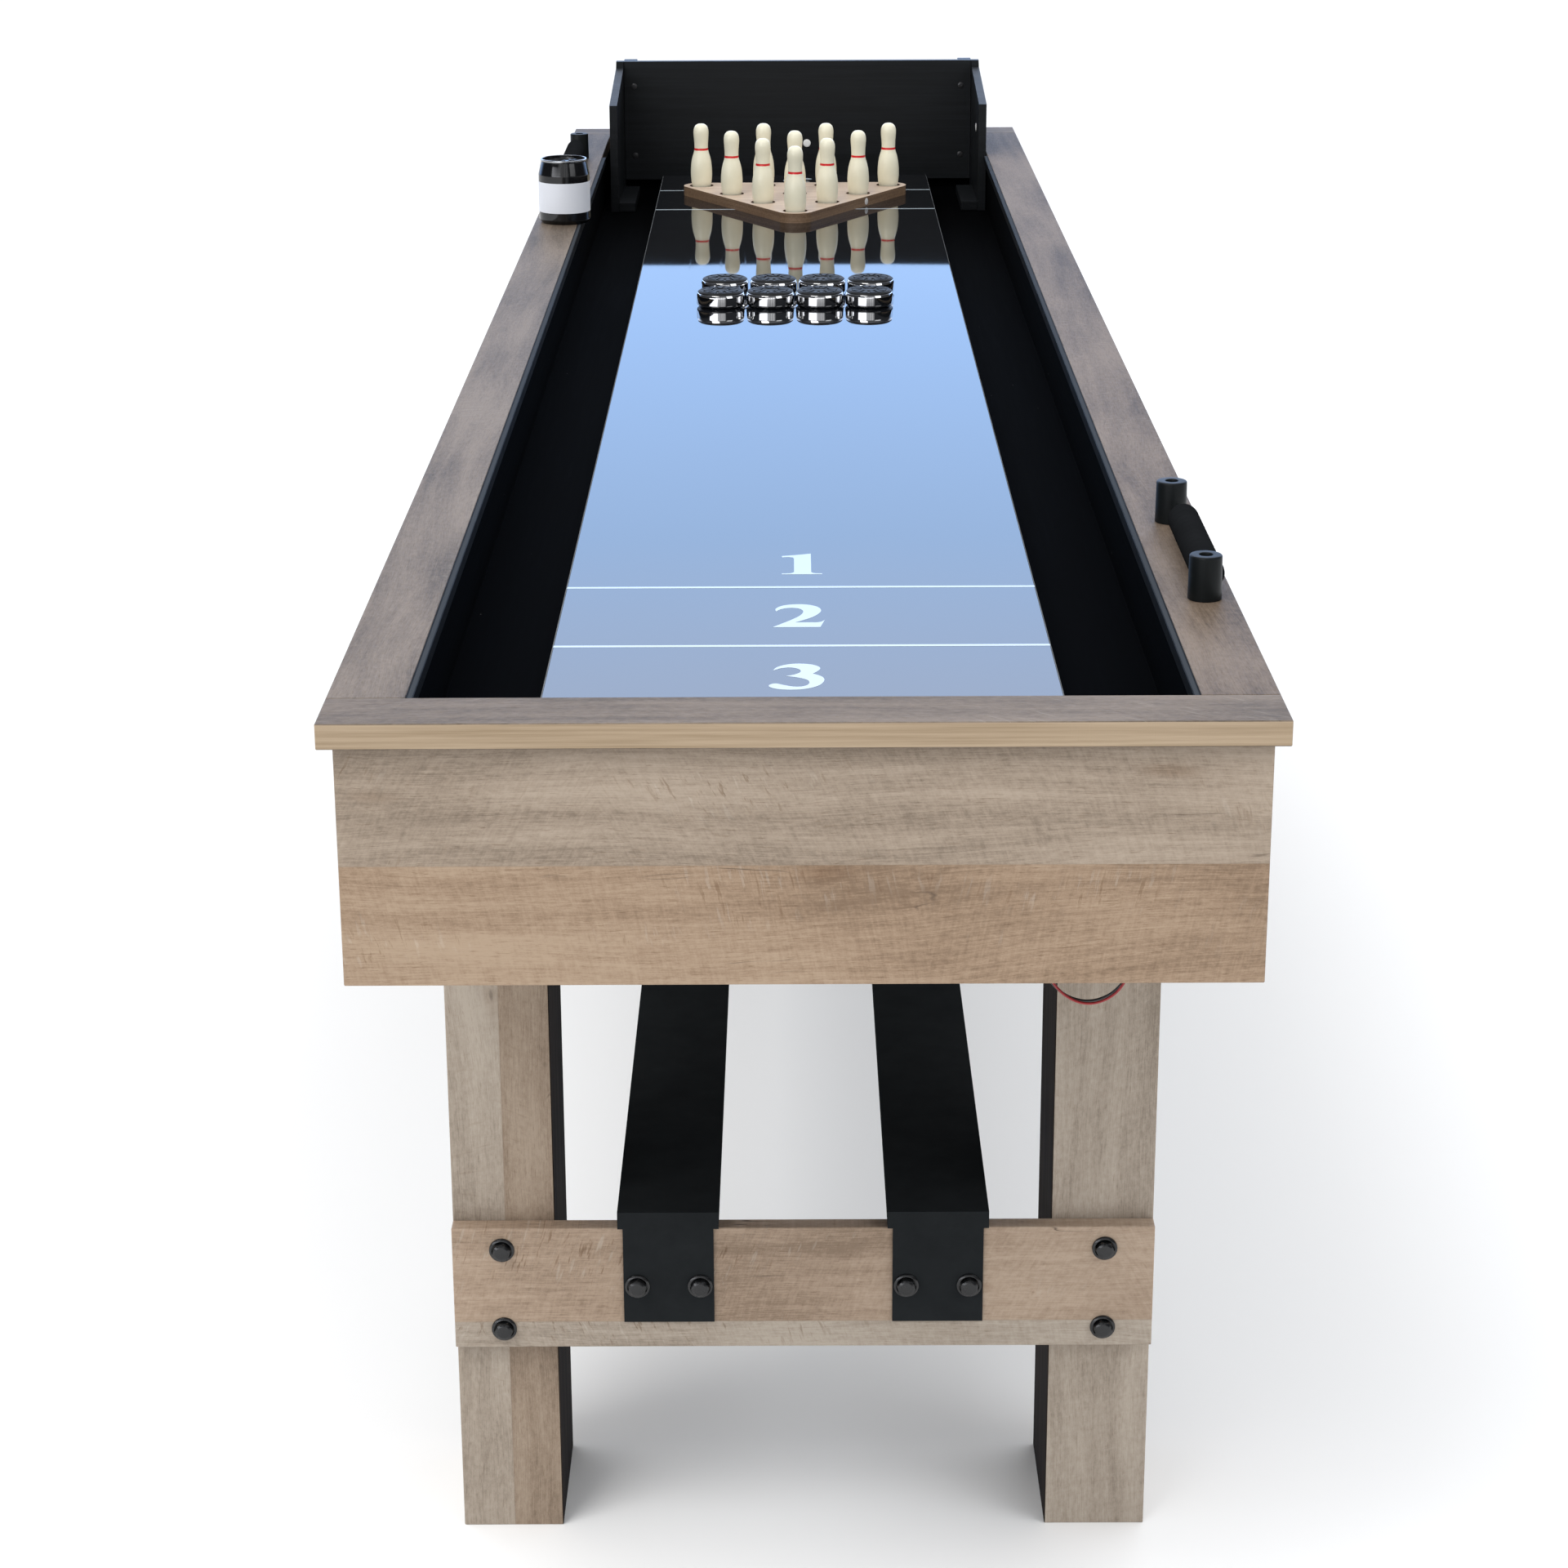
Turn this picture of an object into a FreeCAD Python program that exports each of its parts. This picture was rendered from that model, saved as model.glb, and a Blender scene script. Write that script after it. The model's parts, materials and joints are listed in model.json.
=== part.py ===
"""A nine-foot home shuffleboard table that doubles as a tabletop bowling lane.

X runs across the table, Y runs along it with the bowling end at +Y, and Z is up.
The origin is on the floor under the middle of the table. Sizes are in millimetres.
"""
import FreeCAD, Part
import Sketcher
import math
import os
import re

DIMENSIONS = [
    ("table_length", 2743, "overall length of the top, nine feet"),
    ("table_width", 610, "overall width of the top"),
    ("rail_top", 787, "height of the rails' top face"),
    ("rail_thick", 17, "thickness of the rail boards"),
    ("side_rail_wide", 51, "width of a side rail"),
    ("end_rail_deep", 55, "width of an end rail, along Y"),
    ("edge_break", 0.6, "chamfer on the boards' edges"),
    ("apron_width", 591, "outer width across the aprons"),
    ("apron_length", 2727, "outer length over the end aprons"),
    ("apron_high", 162, "height of an apron board"),
    ("apron_thick", 15, "thickness of an apron board"),
    ("wall_thick", 12, "thickness of the gutter walls"),
    ("deck_top", 714, "height of the gutter floor"),
    ("deck_thick", 12, "thickness of the deck board"),
    ("board_top", 747, "height of the playing surface"),
    ("board_thick", 18, "thickness of the playfield board"),
    ("board_wide", 356, "width of the playfield, fourteen inches"),
    ("board_long", 2400, "length of the playfield"),
    ("batten_wide", 40, "width of a batten under the playfield"),
    ("batten_long", 2300, "length of a batten"),
    ("batten_spacing", 140, "spacing of the battens across the table"),
    ("beam_thick", 18, "thickness of a cross beam"),
    ("beam_high", 70, "height of a cross beam"),
    ("beam_spacing", 700, "spacing of the cross beams along the table"),
    ("leg_wide", 79, "width of a box leg, along X"),
    ("leg_deep", 125, "depth of a box leg, along Y"),
    ("leg_outer", 271, "distance of a leg's outer face from the middle"),
    ("leg_face", 1010, "distance of a leg's end face from the middle"),
    ("leg_wall", 15, "wall thickness of a box leg"),
    ("plug_thick", 18, "thickness of the block in a leg's foot"),
    ("packer_low", 615, "lowest point of a leg packer"),
    ("packer_high", 80, "height of a leg packer"),
    ("crossbar_top", 269, "height of a crossbar's top edge"),
    ("crossbar_high", 102, "height of a crossbar board"),
    ("crossbar_thick", 15, "thickness of a crossbar board"),
    ("crossbar_bolt_side", 232.6, "distance of the crossbar bolts from the middle"),
    ("crossbar_bolt_upper", 250.8, "height of the upper crossbar bolts"),
    ("crossbar_bolt_lower", 183.1, "height of the lower crossbar bolts"),
    ("stretcher_side", 104, "distance of a stretcher from the middle"),
    ("stretcher_wide", 78, "width of a stretcher channel"),
    ("stretcher_flange", 14, "height of a stretcher's flanges"),
    ("stretcher_sheet", 2, "thickness of the stretchers' steel"),
    ("tab_wide", 70, "width of a stretcher's end tab"),
    ("tab_low", 189.5, "lowest point of a stretcher's end tab"),
    ("tab_bolt_height", 220.5, "height of the bolts in an end tab"),
    ("tab_bolt_spacing", 48.6, "spacing of the two bolts in an end tab"),
    ("bolt_radius", 4, "shank radius of the frame bolts"),
    ("bolt_hole", 4.3, "radius of the holes for the frame bolts"),
    ("bolt_flange_radius", 9.75, "radius of a bolt's flange"),
    ("bolt_flange_thick", 2, "thickness of a bolt's flange"),
    ("bolt_hex_radius", 7.5, "corner radius of a bolt's hexagon"),
    ("bolt_hex_high", 5.5, "height of a bolt's hexagon"),
    ("leg_bolt_spacing", 60, "spacing of the two bolts that hold a leg to its apron"),
    ("leg_bolt_bite", 10, "depth of a leg bolt in the apron"),
    ("channel_wide", 5, "width of a light channel"),
    ("channel_high", 9, "height of a light channel"),
    ("channel_end", 1092, "Y where the light channels stop, just short of the backboard"),
    ("channel_wall", 0.8, "wall thickness of a light channel"),
    ("tape_thick", 0.6, "thickness of a light tape"),
    ("diffuser_thick", 1.5, "thickness of a diffuser strip"),
    ("diffuser_recess", 0.3, "depth of a diffuser below its channel's edges"),
    ("case_long", 92, "length of the battery case, along X"),
    ("case_deep", 55, "depth of the battery case, along Y"),
    ("case_high", 24, "height of the battery case"),
    ("case_wall", 2, "wall thickness of the battery case"),
    ("case_corner_side", 20, "X of the battery case's lowest corner"),
    ("case_corner_along", -1346, "Y of the battery case's lowest corner"),
    ("rocker_wide", 11, "width of the rocker, along X"),
    ("rocker_long", 18, "length of the rocker, along Y"),
    ("rocker_thick", 7, "thickness of the rocker"),
    ("rocker_tilt", 8, "tilt of the rocker at either stop, in degrees"),
    ("rocker_gap", 1.2, "gap round the rocker"),
    ("lead_radius", 0.9, "radius of one lead wire"),
    ("post_base_radius", 12.1, "radius of a scorer post at its foot"),
    ("post_top_radius", 11.6, "radius of a scorer post at its top"),
    ("post_high", 32, "height of a scorer post"),
    ("post_side", 283, "distance of the scorer posts from the middle"),
    ("post_outer_end", 1087, "distance along Y of the outer post"),
    ("post_inner_end", 867, "distance along Y of the inner post"),
    ("rod_side", 287, "distance of a scorer rod from the middle"),
    ("rod_rise", 14, "height of a scorer rod above the rail"),
    ("rod_radius", 2.5, "radius of a scorer rod"),
    ("rod_socket", 5, "depth of a rod's end in its post"),
    ("bead_radius", 11.7, "radius of a score bead"),
    ("bead_bore", 2.6, "bore radius of a score bead"),
    ("bead_pitch", 10.8, "length of rod that a score bead takes up"),
    ("bead_gap", 0.1, "gap between neighbouring score beads"),
    ("screw_radius", 2, "shank radius of a post screw"),
    ("screw_head_radius", 4, "head radius of a post screw"),
    ("screw_head_high", 3, "head height of a post screw"),
    ("screw_seat", 8, "height of a post screw's seat above the rail"),
    ("counterbore_radius", 4.5, "radius of a post's counterbore"),
    ("backboard_mid", 4.5, "X of the backboard's middle: it stands nearer the right-hand rail"),
    ("backboard_half", 248, "half of the backboard's outer width"),
    ("cheek_thick", 10, "thickness of a backboard cheek"),
    ("cheek_front", 1100, "Y of a cheek's front edge"),
    ("cheek_back", 1315, "Y of a cheek's back edge"),
    ("cheek_shoulder", 853, "height of a cheek's front edge"),
    ("cheek_crest", 1295, "Y where a cheek's slope ends"),
    ("cheek_crest_high", 879, "height where a cheek's slope ends"),
    ("cheek_top", 887, "height of a cheek's top edge"),
    ("panel_front", 1303, "Y of the back panel's front face"),
    ("panel_thick", 12, "thickness of the back panel"),
    ("panel_low", 726, "height of the back panel's lower edge"),
    ("panel_top", 887, "height of the back panel's upper edge"),
    ("foot_wide", 22, "width of a backboard foot"),
    ("foot_back", 1245, "Y of a backboard foot's back end"),
    ("foot_thick", 12, "thickness of a backboard foot"),
    ("cleat_size", 18, "width and depth of the cleats behind the panel"),
    ("cleat_low", 790, "height of the cleats' lower ends, clear of the end rail"),
    ("panel_screw_side", 224, "distance of the panel screws from the middle"),
    ("panel_screw_upper", 853.5, "height of the upper panel screws"),
    ("panel_screw_lower", 759.5, "height of the lower panel screws"),
    ("panel_screw_radius", 1.75, "shank radius of a panel screw"),
    ("panel_screw_head", 4, "head radius of a panel screw"),
    ("panel_screw_head_high", 2, "head height of a panel screw"),
    ("panel_screw_long", 22, "shank length of an upper panel screw"),
    ("panel_screw_short", 11.5, "shank length of a lower panel screw"),
    ("pin_spacing", 81, "spacing of the bowling pins"),
    ("pin_front", 819, "Y of the head pin"),
    ("rack_thick", 12, "thickness of the pin rack"),
    ("rack_corner", 23, "corner radius of the pin rack"),
    ("recess_radius", 15.5, "radius of a pin recess"),
    ("recess_deep", 2, "depth of a pin recess"),
    ("pin_base_radius", 12, "radius of a pin at its foot"),
    ("pin_neck_radius", 9, "radius of a pin at its neck"),
    ("pin_neck_high", 51.3, "height of a pin's neck"),
    ("pin_head_radius", 10, "radius of a pin's head"),
    ("pin_high", 81.8, "height of a pin"),
    ("pin_belly_curve", 97, "radius of the curve of a pin's belly"),
    ("pin_throat_curve", 110, "radius of the curve of a pin's throat"),
    ("puck_radius", 26, "radius of a puck"),
    ("puck_high", 15, "height of a puck's steel weight"),
    ("puck_chamfer", 1.5, "chamfer on a puck's steel weight"),
    ("cap_radius", 24.8, "radius of a puck's cap"),
    ("cap_high", 2.7, "height of a puck's cap"),
    ("puck_spacing", 53.5, "spacing of the pucks in a row"),
    ("puck_row_side", -82, "X of the first puck in the front row"),
    ("puck_row_along", 246, "Y of the front row of pucks"),
    ("puck_row_gap", 75, "distance along Y between the two rows"),
    ("puck_row_shift", 3.3, "X shift of the rear row"),
    ("can_side", -269.8, "X of the wax can"),
    ("can_along", 568, "Y of the wax can"),
    ("can_radius", 29.8, "radius of the wax can"),
    ("can_high", 74, "height of the wax can"),
    ("can_neck_radius", 27, "radius of the wax can's rim"),
    ("can_shoulder", 56, "height where the wax can's shoulder starts"),
    ("can_dish", 4, "depth of the lid below the can's rim"),
]
BEADS_ON_A_ROD = 15
PIN_ROWS = 4
PUCKS_IN_A_ROW = 4
SIDES = {"left": -1, "right": 1}
ENDS = {"front": -1, "rear": 1}

doc = FreeCAD.newDocument("ShuffleboardTable")
sheet = doc.addObject("Spreadsheet::Sheet", "Dims")
for row, (alias, number, note) in enumerate(DIMENSIONS, start=1):
    sheet.set("A%d" % row, note)
    sheet.set("B%d" % row, str(number))
    sheet.setAlias("B%d" % row, alias)
doc.recompute()

ALIASES = {alias for alias, number, note in DIMENSIONS}
nodes = []


def qualified(formula):
    """Turn a formula of plain aliases into one that names the sheet."""
    return re.sub(r"[a-z_]+", lambda word: "Dims." + word[0] if word[0] in ALIASES else word[0], str(formula))


def value(formula):
    """The present value of a formula, as a plain number."""
    return float(sheet.evalExpression(qualified(formula)))


def bind(obj, **formulas):
    """Bind properties of an object to formulas."""
    for name, formula in formulas.items():
        obj.setExpression(name, qualified(formula))
    return obj


def place(obj, x, y, z, turn=None):
    """Bind an object's position to three formulas, after an optional fixed rotation."""
    if turn:
        obj.Placement = FreeCAD.Placement(FreeCAD.Vector(), FreeCAD.Rotation(FreeCAD.Vector(*turn[0]), turn[1]))
    for axis, formula in zip("xyz", (x, y, z)):
        obj.setExpression("Placement.Base." + axis, qualified(formula))
    return obj


def node(obj, label):
    """Give an object its label and put it on the list of sub-parts."""
    obj.Label = label
    nodes.append(obj)
    return obj


def group(label, members):
    """One sub-part made of several separate solids."""
    compound = doc.addObject("Part::Compound", "Group")
    compound.Links = members
    return node(compound, label)


# ---- features -------------------------------------------------------------

def board(x, y, z, long_x, long_y, long_z, edge="edge_break"):
    """A rectangular board: its lowest corner, its three sizes and its edge chamfer."""
    body = doc.addObject("PartDesign::Body", "Board")
    box = body.newObject("PartDesign::AdditiveBox", "Block")
    bind(box, Length=long_x, Width=long_y, Height=long_z)
    if edge:
        chamfer = body.newObject("PartDesign::Chamfer", "EdgeBreak")
        chamfer.Base = (box, ["Edge1"])
        chamfer.UseAllEdges = True
        bind(chamfer, Size=edge)
    return place(body, x, y, z)


def bore(body, x, y, z, radius, depth, turn=None):
    """Drill a round hole in a body from a point in the body's own frame."""
    drill = body.newObject("PartDesign::SubtractiveCylinder", "Bore")
    bind(drill, Radius=radius, Height=depth)
    place(drill, x, y, z, turn)
    return body


def hollow(body, x, y, z, long_x, long_y, long_z):
    """Cut a rectangular space out of a body, in the body's own frame."""
    space = body.newObject("PartDesign::SubtractiveBox", "Space")
    bind(space, Length=long_x, Width=long_y, Height=long_z)
    place(space, x, y, z)
    return body


def arc_centre(start, end, radius, bulges_right):
    """Centre of the minor arc between two points."""
    chord = end - start
    rise = math.sqrt(radius ** 2 - (chord.Length / 2) ** 2)
    leftward = FreeCAD.Vector(-chord.y, chord.x, 0).normalize()
    return (start + end) / 2 + leftward * (rise if bulges_right else -rise)


def outline(body, role, points):
    """A closed sketch on one of a body's planes.

    Each point is (across, up) and may carry a radius formula, which makes the edge that
    follows it an arc. A leading "-" before that radius makes the arc bend inwards.
    """
    plane = next(feature for feature in body.Origin.OriginFeatures if feature.Role == role)
    sketch = body.newObject("Sketcher::SketchObject", "Outline")
    sketch.AttachmentSupport = [(plane, "")]
    sketch.MapMode = "FlatFace"
    spots = [FreeCAD.Vector(value(point[0]), value(point[1]), 0) for point in points]
    ends = []
    for index, point in enumerate(points):
        start, end = spots[index], spots[(index + 1) % len(spots)]
        if len(point) == 2:
            sketch.addGeometry(Part.LineSegment(start, end))
            ends.append((1, 2))
            continue
        bulges_right = not point[2].startswith("-")
        radius = value(point[2].lstrip("-"))
        centre = arc_centre(start, end, radius, bulges_right)
        first, last = (start, end) if bulges_right else (end, start)
        angles = [math.atan2(spot.y - centre.y, spot.x - centre.x) for spot in (first, last)]
        circle = Part.Circle(centre, FreeCAD.Vector(0, 0, 1), radius)
        sketch.addGeometry(Part.ArcOfCircle(circle, *angles))
        ends.append((1, 2) if bulges_right else (2, 1))
    for index, point in enumerate(points):
        following = (index + 1) % len(points)
        sketch.addConstraint(Sketcher.Constraint(
            "Coincident", index, ends[index][1], following, ends[following][0]))
        for kind, formula in zip(("DistanceX", "DistanceY"), point):
            number = sketch.addConstraint(Sketcher.Constraint(
                kind, -1, 1, index, ends[index][0], value(formula)))
            sketch.setExpression("Constraints[%d]" % number, qualified(formula))
        if len(point) == 3:
            radius = point[2].lstrip("-")
            number = sketch.addConstraint(Sketcher.Constraint("Radius", index, value(radius)))
            sketch.setExpression("Constraints[%d]" % number, qualified(radius))
    return sketch


def turned(points, x, y, z):
    """A body turned about its own vertical axis from a half outline of (radius, height) points."""
    body = doc.addObject("PartDesign::Body", "Turning")
    sketch = outline(body, "XZ_Plane", points)
    turning = body.newObject("PartDesign::Revolution", "Turned")
    turning.Profile = sketch
    turning.ReferenceAxis = (sketch, ["V_Axis"])
    turning.Angle = 360
    return place(body, x, y, z)


def sawn(role, points, thickness, x, y, z):
    """A body of even thickness from an outline on one of its own planes."""
    body = doc.addObject("PartDesign::Body", "Sawn")
    sketch = outline(body, role, points)
    pad = body.newObject("PartDesign::Pad", "Thickness")
    pad.Profile = sketch
    bind(pad, Length=thickness)
    return place(body, x, y, z)


# ---- top frame ------------------------------------------------------------

def make_rails():
    rail_low = "rail_top - rail_thick"
    side_long = "table_length - 2 * end_rail_deep"
    for name, side in SIDES.items():
        low = "table_width / 2 - side_rail_wide" if side > 0 else "-table_width / 2"
        rail = board(low, "-table_length / 2 + end_rail_deep", rail_low, "side_rail_wide", side_long, "rail_thick")
        for along in ("post_outer_end", "post_inner_end"):
            bore(rail, "%d * post_side - (%s)" % (side, low),
                 "%d * %s + table_length / 2 - end_rail_deep" % (-side, along), 0, "screw_radius + 0.05", "rail_thick")
        node(rail, "side_rail_" + name)
    for name, end in ENDS.items():
        low = "table_length / 2 - end_rail_deep" if end > 0 else "-table_length / 2"
        node(board("-table_width / 2", low, rail_low, "table_width", "end_rail_deep", "rail_thick"), "end_rail_" + name)


def make_aprons():
    low = "rail_top - rail_thick - apron_high"
    inner_long = "apron_length - 2 * apron_thick"
    for name, side in SIDES.items():
        corner = "apron_width / 2 - apron_thick" if side > 0 else "-apron_width / 2"
        apron = board(corner, "-apron_length / 2 + apron_thick", low, "apron_thick", inner_long, "apron_high")
        start = 0 if side > 0 else "apron_thick - leg_bolt_bite"
        for along in leg_bolt_places():
            bore(apron, start, "%s + apron_length / 2 - apron_thick" % along, leg_bolt_height() + " - (%s)" % low,
                 "bolt_hole", "leg_bolt_bite", ((0, 1, 0), 90))
        node(apron, "side_apron_" + name)
    for name, end in ENDS.items():
        corner = "apron_length / 2 - apron_thick" if end > 0 else "-apron_length / 2"
        node(board("-apron_width / 2", corner, low, "apron_width", "apron_thick", "apron_high"), "end_apron_" + name)


def make_gutters():
    wall_high = "rail_top - rail_thick - deck_top"
    inner_half = "table_width / 2 - side_rail_wide"
    end_inner = "table_length / 2 - end_rail_deep"
    walls = []
    for side in SIDES.values():
        low = inner_half if side > 0 else "-(%s) - wall_thick" % inner_half
        walls.append(board(low, "-(%s) - wall_thick" % end_inner, "deck_top",
                           "wall_thick", "2 * (%s) + 2 * wall_thick" % end_inner, wall_high))
    for end in ENDS.values():
        low = end_inner if end > 0 else "-(%s) - wall_thick" % end_inner
        walls.append(board("-(%s)" % inner_half, low, "deck_top", "2 * (%s)" % inner_half, "wall_thick", wall_high))
    group("gutter_walls", walls)
    node(board("-apron_width / 2 + apron_thick", "-apron_length / 2 + apron_thick", "deck_top - deck_thick",
               "apron_width - 2 * apron_thick", "apron_length - 2 * apron_thick", "deck_thick"), "gutter_deck")


def make_playfield():
    node(board("-board_wide / 2", "-board_long / 2", "board_top - board_thick",
               "board_wide", "board_long", "board_thick", "2 * edge_break"), "playfield_board")
    battens = [board("%d * batten_spacing - batten_wide / 2" % place_across, "-batten_long / 2", "deck_top",
                     "batten_wide", "batten_long", "board_top - board_thick - deck_top")
               for place_across in (-1, 0, 1)]
    group("playfield_battens", battens)
    beams = [board("-apron_width / 2 + apron_thick", "%d * beam_spacing - beam_thick / 2" % place_along,
                   "deck_top - deck_thick - beam_high", "apron_width - 2 * apron_thick", "beam_thick", "beam_high")
             for place_along in (-1, 0, 1)]
    group("cross_beams", beams)


def make_lights():
    start = "-table_length / 2 + end_rail_deep"
    length = "channel_end - (%s)" % start
    inside = "channel_wide - 2 * channel_wall"
    channels, tapes, diffusers = [], [], []
    for side in SIDES.values():
        low = "table_width / 2 - side_rail_wide - channel_wide"
        if side < 0:
            low = "-table_width / 2 + side_rail_wide"
        channel = board(low, start, "rail_top - channel_high", "channel_wide", length, "channel_high", None)
        hollow(channel, "channel_wall", 0, "channel_wall", inside, length, "channel_high")
        channels.append(channel)
        tapes.append(board(low + " + channel_wall", start, "rail_top - channel_high + channel_wall",
                           inside, length, "tape_thick", None))
        diffusers.append(board(low + " + channel_wall", start, "rail_top - diffuser_recess - diffuser_thick",
                               inside, length, "diffuser_thick", None))
    group("led_channels", channels)
    group("led_tapes", tapes)
    group("led_diffusers", diffusers)


# ---- battery case and leads -----------------------------------------------

def make_battery_case():
    under = "deck_top - deck_thick - case_high"
    case = board("case_corner_side", "case_corner_along", under, "case_long", "case_deep", "case_high")
    inner_long = "case_long - 2 * case_wall"
    inner_deep = "case_deep - 2 * case_wall"
    hollow(case, "case_wall", "case_wall", "2 * case_wall", inner_long, inner_deep, "case_high")
    hollow(case, "case_long / 2 - rocker_wide / 2 - rocker_gap", "case_deep / 2 - rocker_long / 2 - rocker_gap", 0,
           "rocker_wide + 2 * rocker_gap", "rocker_long + 2 * rocker_gap", "2 * case_wall")
    node(case, "battery_case")
    node(board("case_corner_side + case_wall", "case_corner_along + case_wall", "deck_top - deck_thick - case_wall",
               inner_long, inner_deep, "case_wall", None), "battery_case_lid")
    rocker = doc.addObject("PartDesign::Body", "Rocker")
    block = rocker.newObject("PartDesign::AdditiveBox", "Block")
    bind(block, Length="rocker_wide", Width="rocker_long", Height="rocker_thick")
    place(block, "-rocker_wide / 2", "-rocker_long / 2", "-rocker_thick / 2")
    place(rocker, "case_corner_side + case_long / 2", "case_corner_along + case_deep / 2", under,
          ((1, 0, 0), -value("rocker_tilt")))
    node(rocker, "rocker_switch")


LEAD_ROUTES = {
    "red": (-1334.5, [(112, 690), (122, 690), (133, 681), (141, 661), (147, 634), (156, 607), (167, 589),
                      (184, 580.5), (201, 586), (211, 600), (219, 624), (225, 651), (229, 679), (229, 702)]),
    "black": (-1331.0, [(112, 686), (121, 686), (131, 677), (139, 656), (146, 629), (155, 604), (168, 587),
                        (186, 581), (203, 588), (213, 604), (221, 628), (228, 655), (234, 681), (234, 702)]),
}
ARC_SHARE = 0.45


def rounded_path(spots):
    """Straight runs joined by tangent arcs, and the arcs' radii."""
    edges, radii = [], []
    start = spots[0]
    for before, corner, after in zip(spots, spots[1:], spots[2:]):
        arriving, leaving = corner - before, after - corner
        turn = arriving.getAngle(leaving)
        shorter = min(arriving.Length, leaving.Length)
        radius = ARC_SHARE * shorter / math.tan(turn / 2)
        setback = ARC_SHARE * shorter
        first = corner - arriving.normalize() * setback
        last = corner + leaving.normalize() * setback
        inward = (leaving - arriving).normalize()
        middle = corner + inward * (radius / math.cos(turn / 2) - radius)
        edges.append(Part.LineSegment(start, first).toShape())
        edges.append(Part.Arc(first, middle, last).toShape())
        radii.append(radius)
        start = last
    edges.append(Part.LineSegment(start, spots[-1]).toShape())
    return Part.Wire(edges), radii


def make_leads():
    radius = value("lead_radius")
    for colour, (along, points) in LEAD_ROUTES.items():
        spots = [FreeCAD.Vector(across, along, high) for across, high in points]
        path, radii = rounded_path(spots)
        section = Part.Wire(Part.Circle(spots[0], spots[1] - spots[0], radius).toShape())
        tube = path.makePipeShell([section], True, False)
        expected = math.pi * radius ** 2 * path.Length
        print("lead", colour, "length %.1f" % path.Length, "volume ratio %.4f" % (tube.Volume / expected))
        print("  radii", " ".join("%.1f" % bend for bend in radii))
        lead = doc.addObject("Part::Feature", "Lead")
        lead.Shape = tube
        node(lead, "led_lead_" + colour)


# ---- legs, crossbars and stretchers ---------------------------------------

def leg_bolt_places():
    middle = "(leg_face - leg_deep / 2)"
    return ["%d * %s + %g * leg_bolt_spacing" % (end, middle, half) for end in ENDS.values() for half in (-0.5, 0.5)]


def leg_bolt_height():
    return "packer_low + packer_high / 2"


def make_legs():
    blocks = []
    for end_name, end in ENDS.items():
        for side_name, side in SIDES.items():
            x = "leg_outer - leg_wide" if side > 0 else "-leg_outer"
            y = "leg_face - leg_deep" if end > 0 else "-leg_face"
            leg_high = "deck_top - deck_thick"
            leg = board(x, y, 0, "leg_wide", "leg_deep", leg_high)
            hollow(leg, "leg_wall", "leg_wall", 0, "leg_wide - 2 * leg_wall", "leg_deep - 2 * leg_wall", leg_high)
            for height in ("crossbar_bolt_upper", "crossbar_bolt_lower"):
                start = "leg_deep - leg_wall" if end > 0 else 0
                bore(leg, "%d * crossbar_bolt_side - (%s)" % (side, x), start, height,
                     "bolt_hole", "leg_wall", ((1, 0, 0), -90))
            for half in (-0.5, 0.5):
                bore(leg, 0, "leg_deep / 2 + %g * leg_bolt_spacing" % half, leg_bolt_height(),
                     "bolt_hole", "leg_wide", ((0, 1, 0), 90))
            node(leg, "leg_%s_%s" % (end_name, side_name))
            blocks.append(board(x + " + leg_wall", y + " + leg_wall", 0,
                                "leg_wide - 2 * leg_wall", "leg_deep - 2 * leg_wall", "plug_thick"))
            packer_x = "leg_outer" if side > 0 else "-apron_width / 2 + apron_thick"
            packer_wide = "apron_width / 2 - apron_thick - leg_outer"
            packer = board(packer_x, y, "packer_low", packer_wide, "leg_deep", "packer_high")
            for half in (-0.5, 0.5):
                bore(packer, 0, "leg_deep / 2 + %g * leg_bolt_spacing" % half, "packer_high / 2",
                     "bolt_hole", packer_wide, ((0, 1, 0), 90))
            blocks.append(packer)
    group("leg_blocks", blocks)


def make_crossbars():
    low = "crossbar_top - crossbar_high"
    for name, end in ENDS.items():
        y = "leg_face" if end > 0 else "-leg_face - crossbar_thick"
        bar = board("-leg_outer", y, low, "2 * leg_outer", "crossbar_thick", "crossbar_high")
        for side in SIDES.values():
            holes = [("crossbar_bolt_side", "crossbar_bolt_upper"), ("crossbar_bolt_side", "crossbar_bolt_lower")]
            holes += [("(stretcher_side + %g * tab_bolt_spacing)" % half, "tab_bolt_height") for half in (-0.5, 0.5)]
            for across, height in holes:
                bore(bar, "%d * %s + leg_outer" % (side, across), 0, "%s - (%s)" % (height, low),
                     "bolt_hole", "crossbar_thick", ((1, 0, 0), -90))
        node(bar, "crossbar_" + name)


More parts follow.
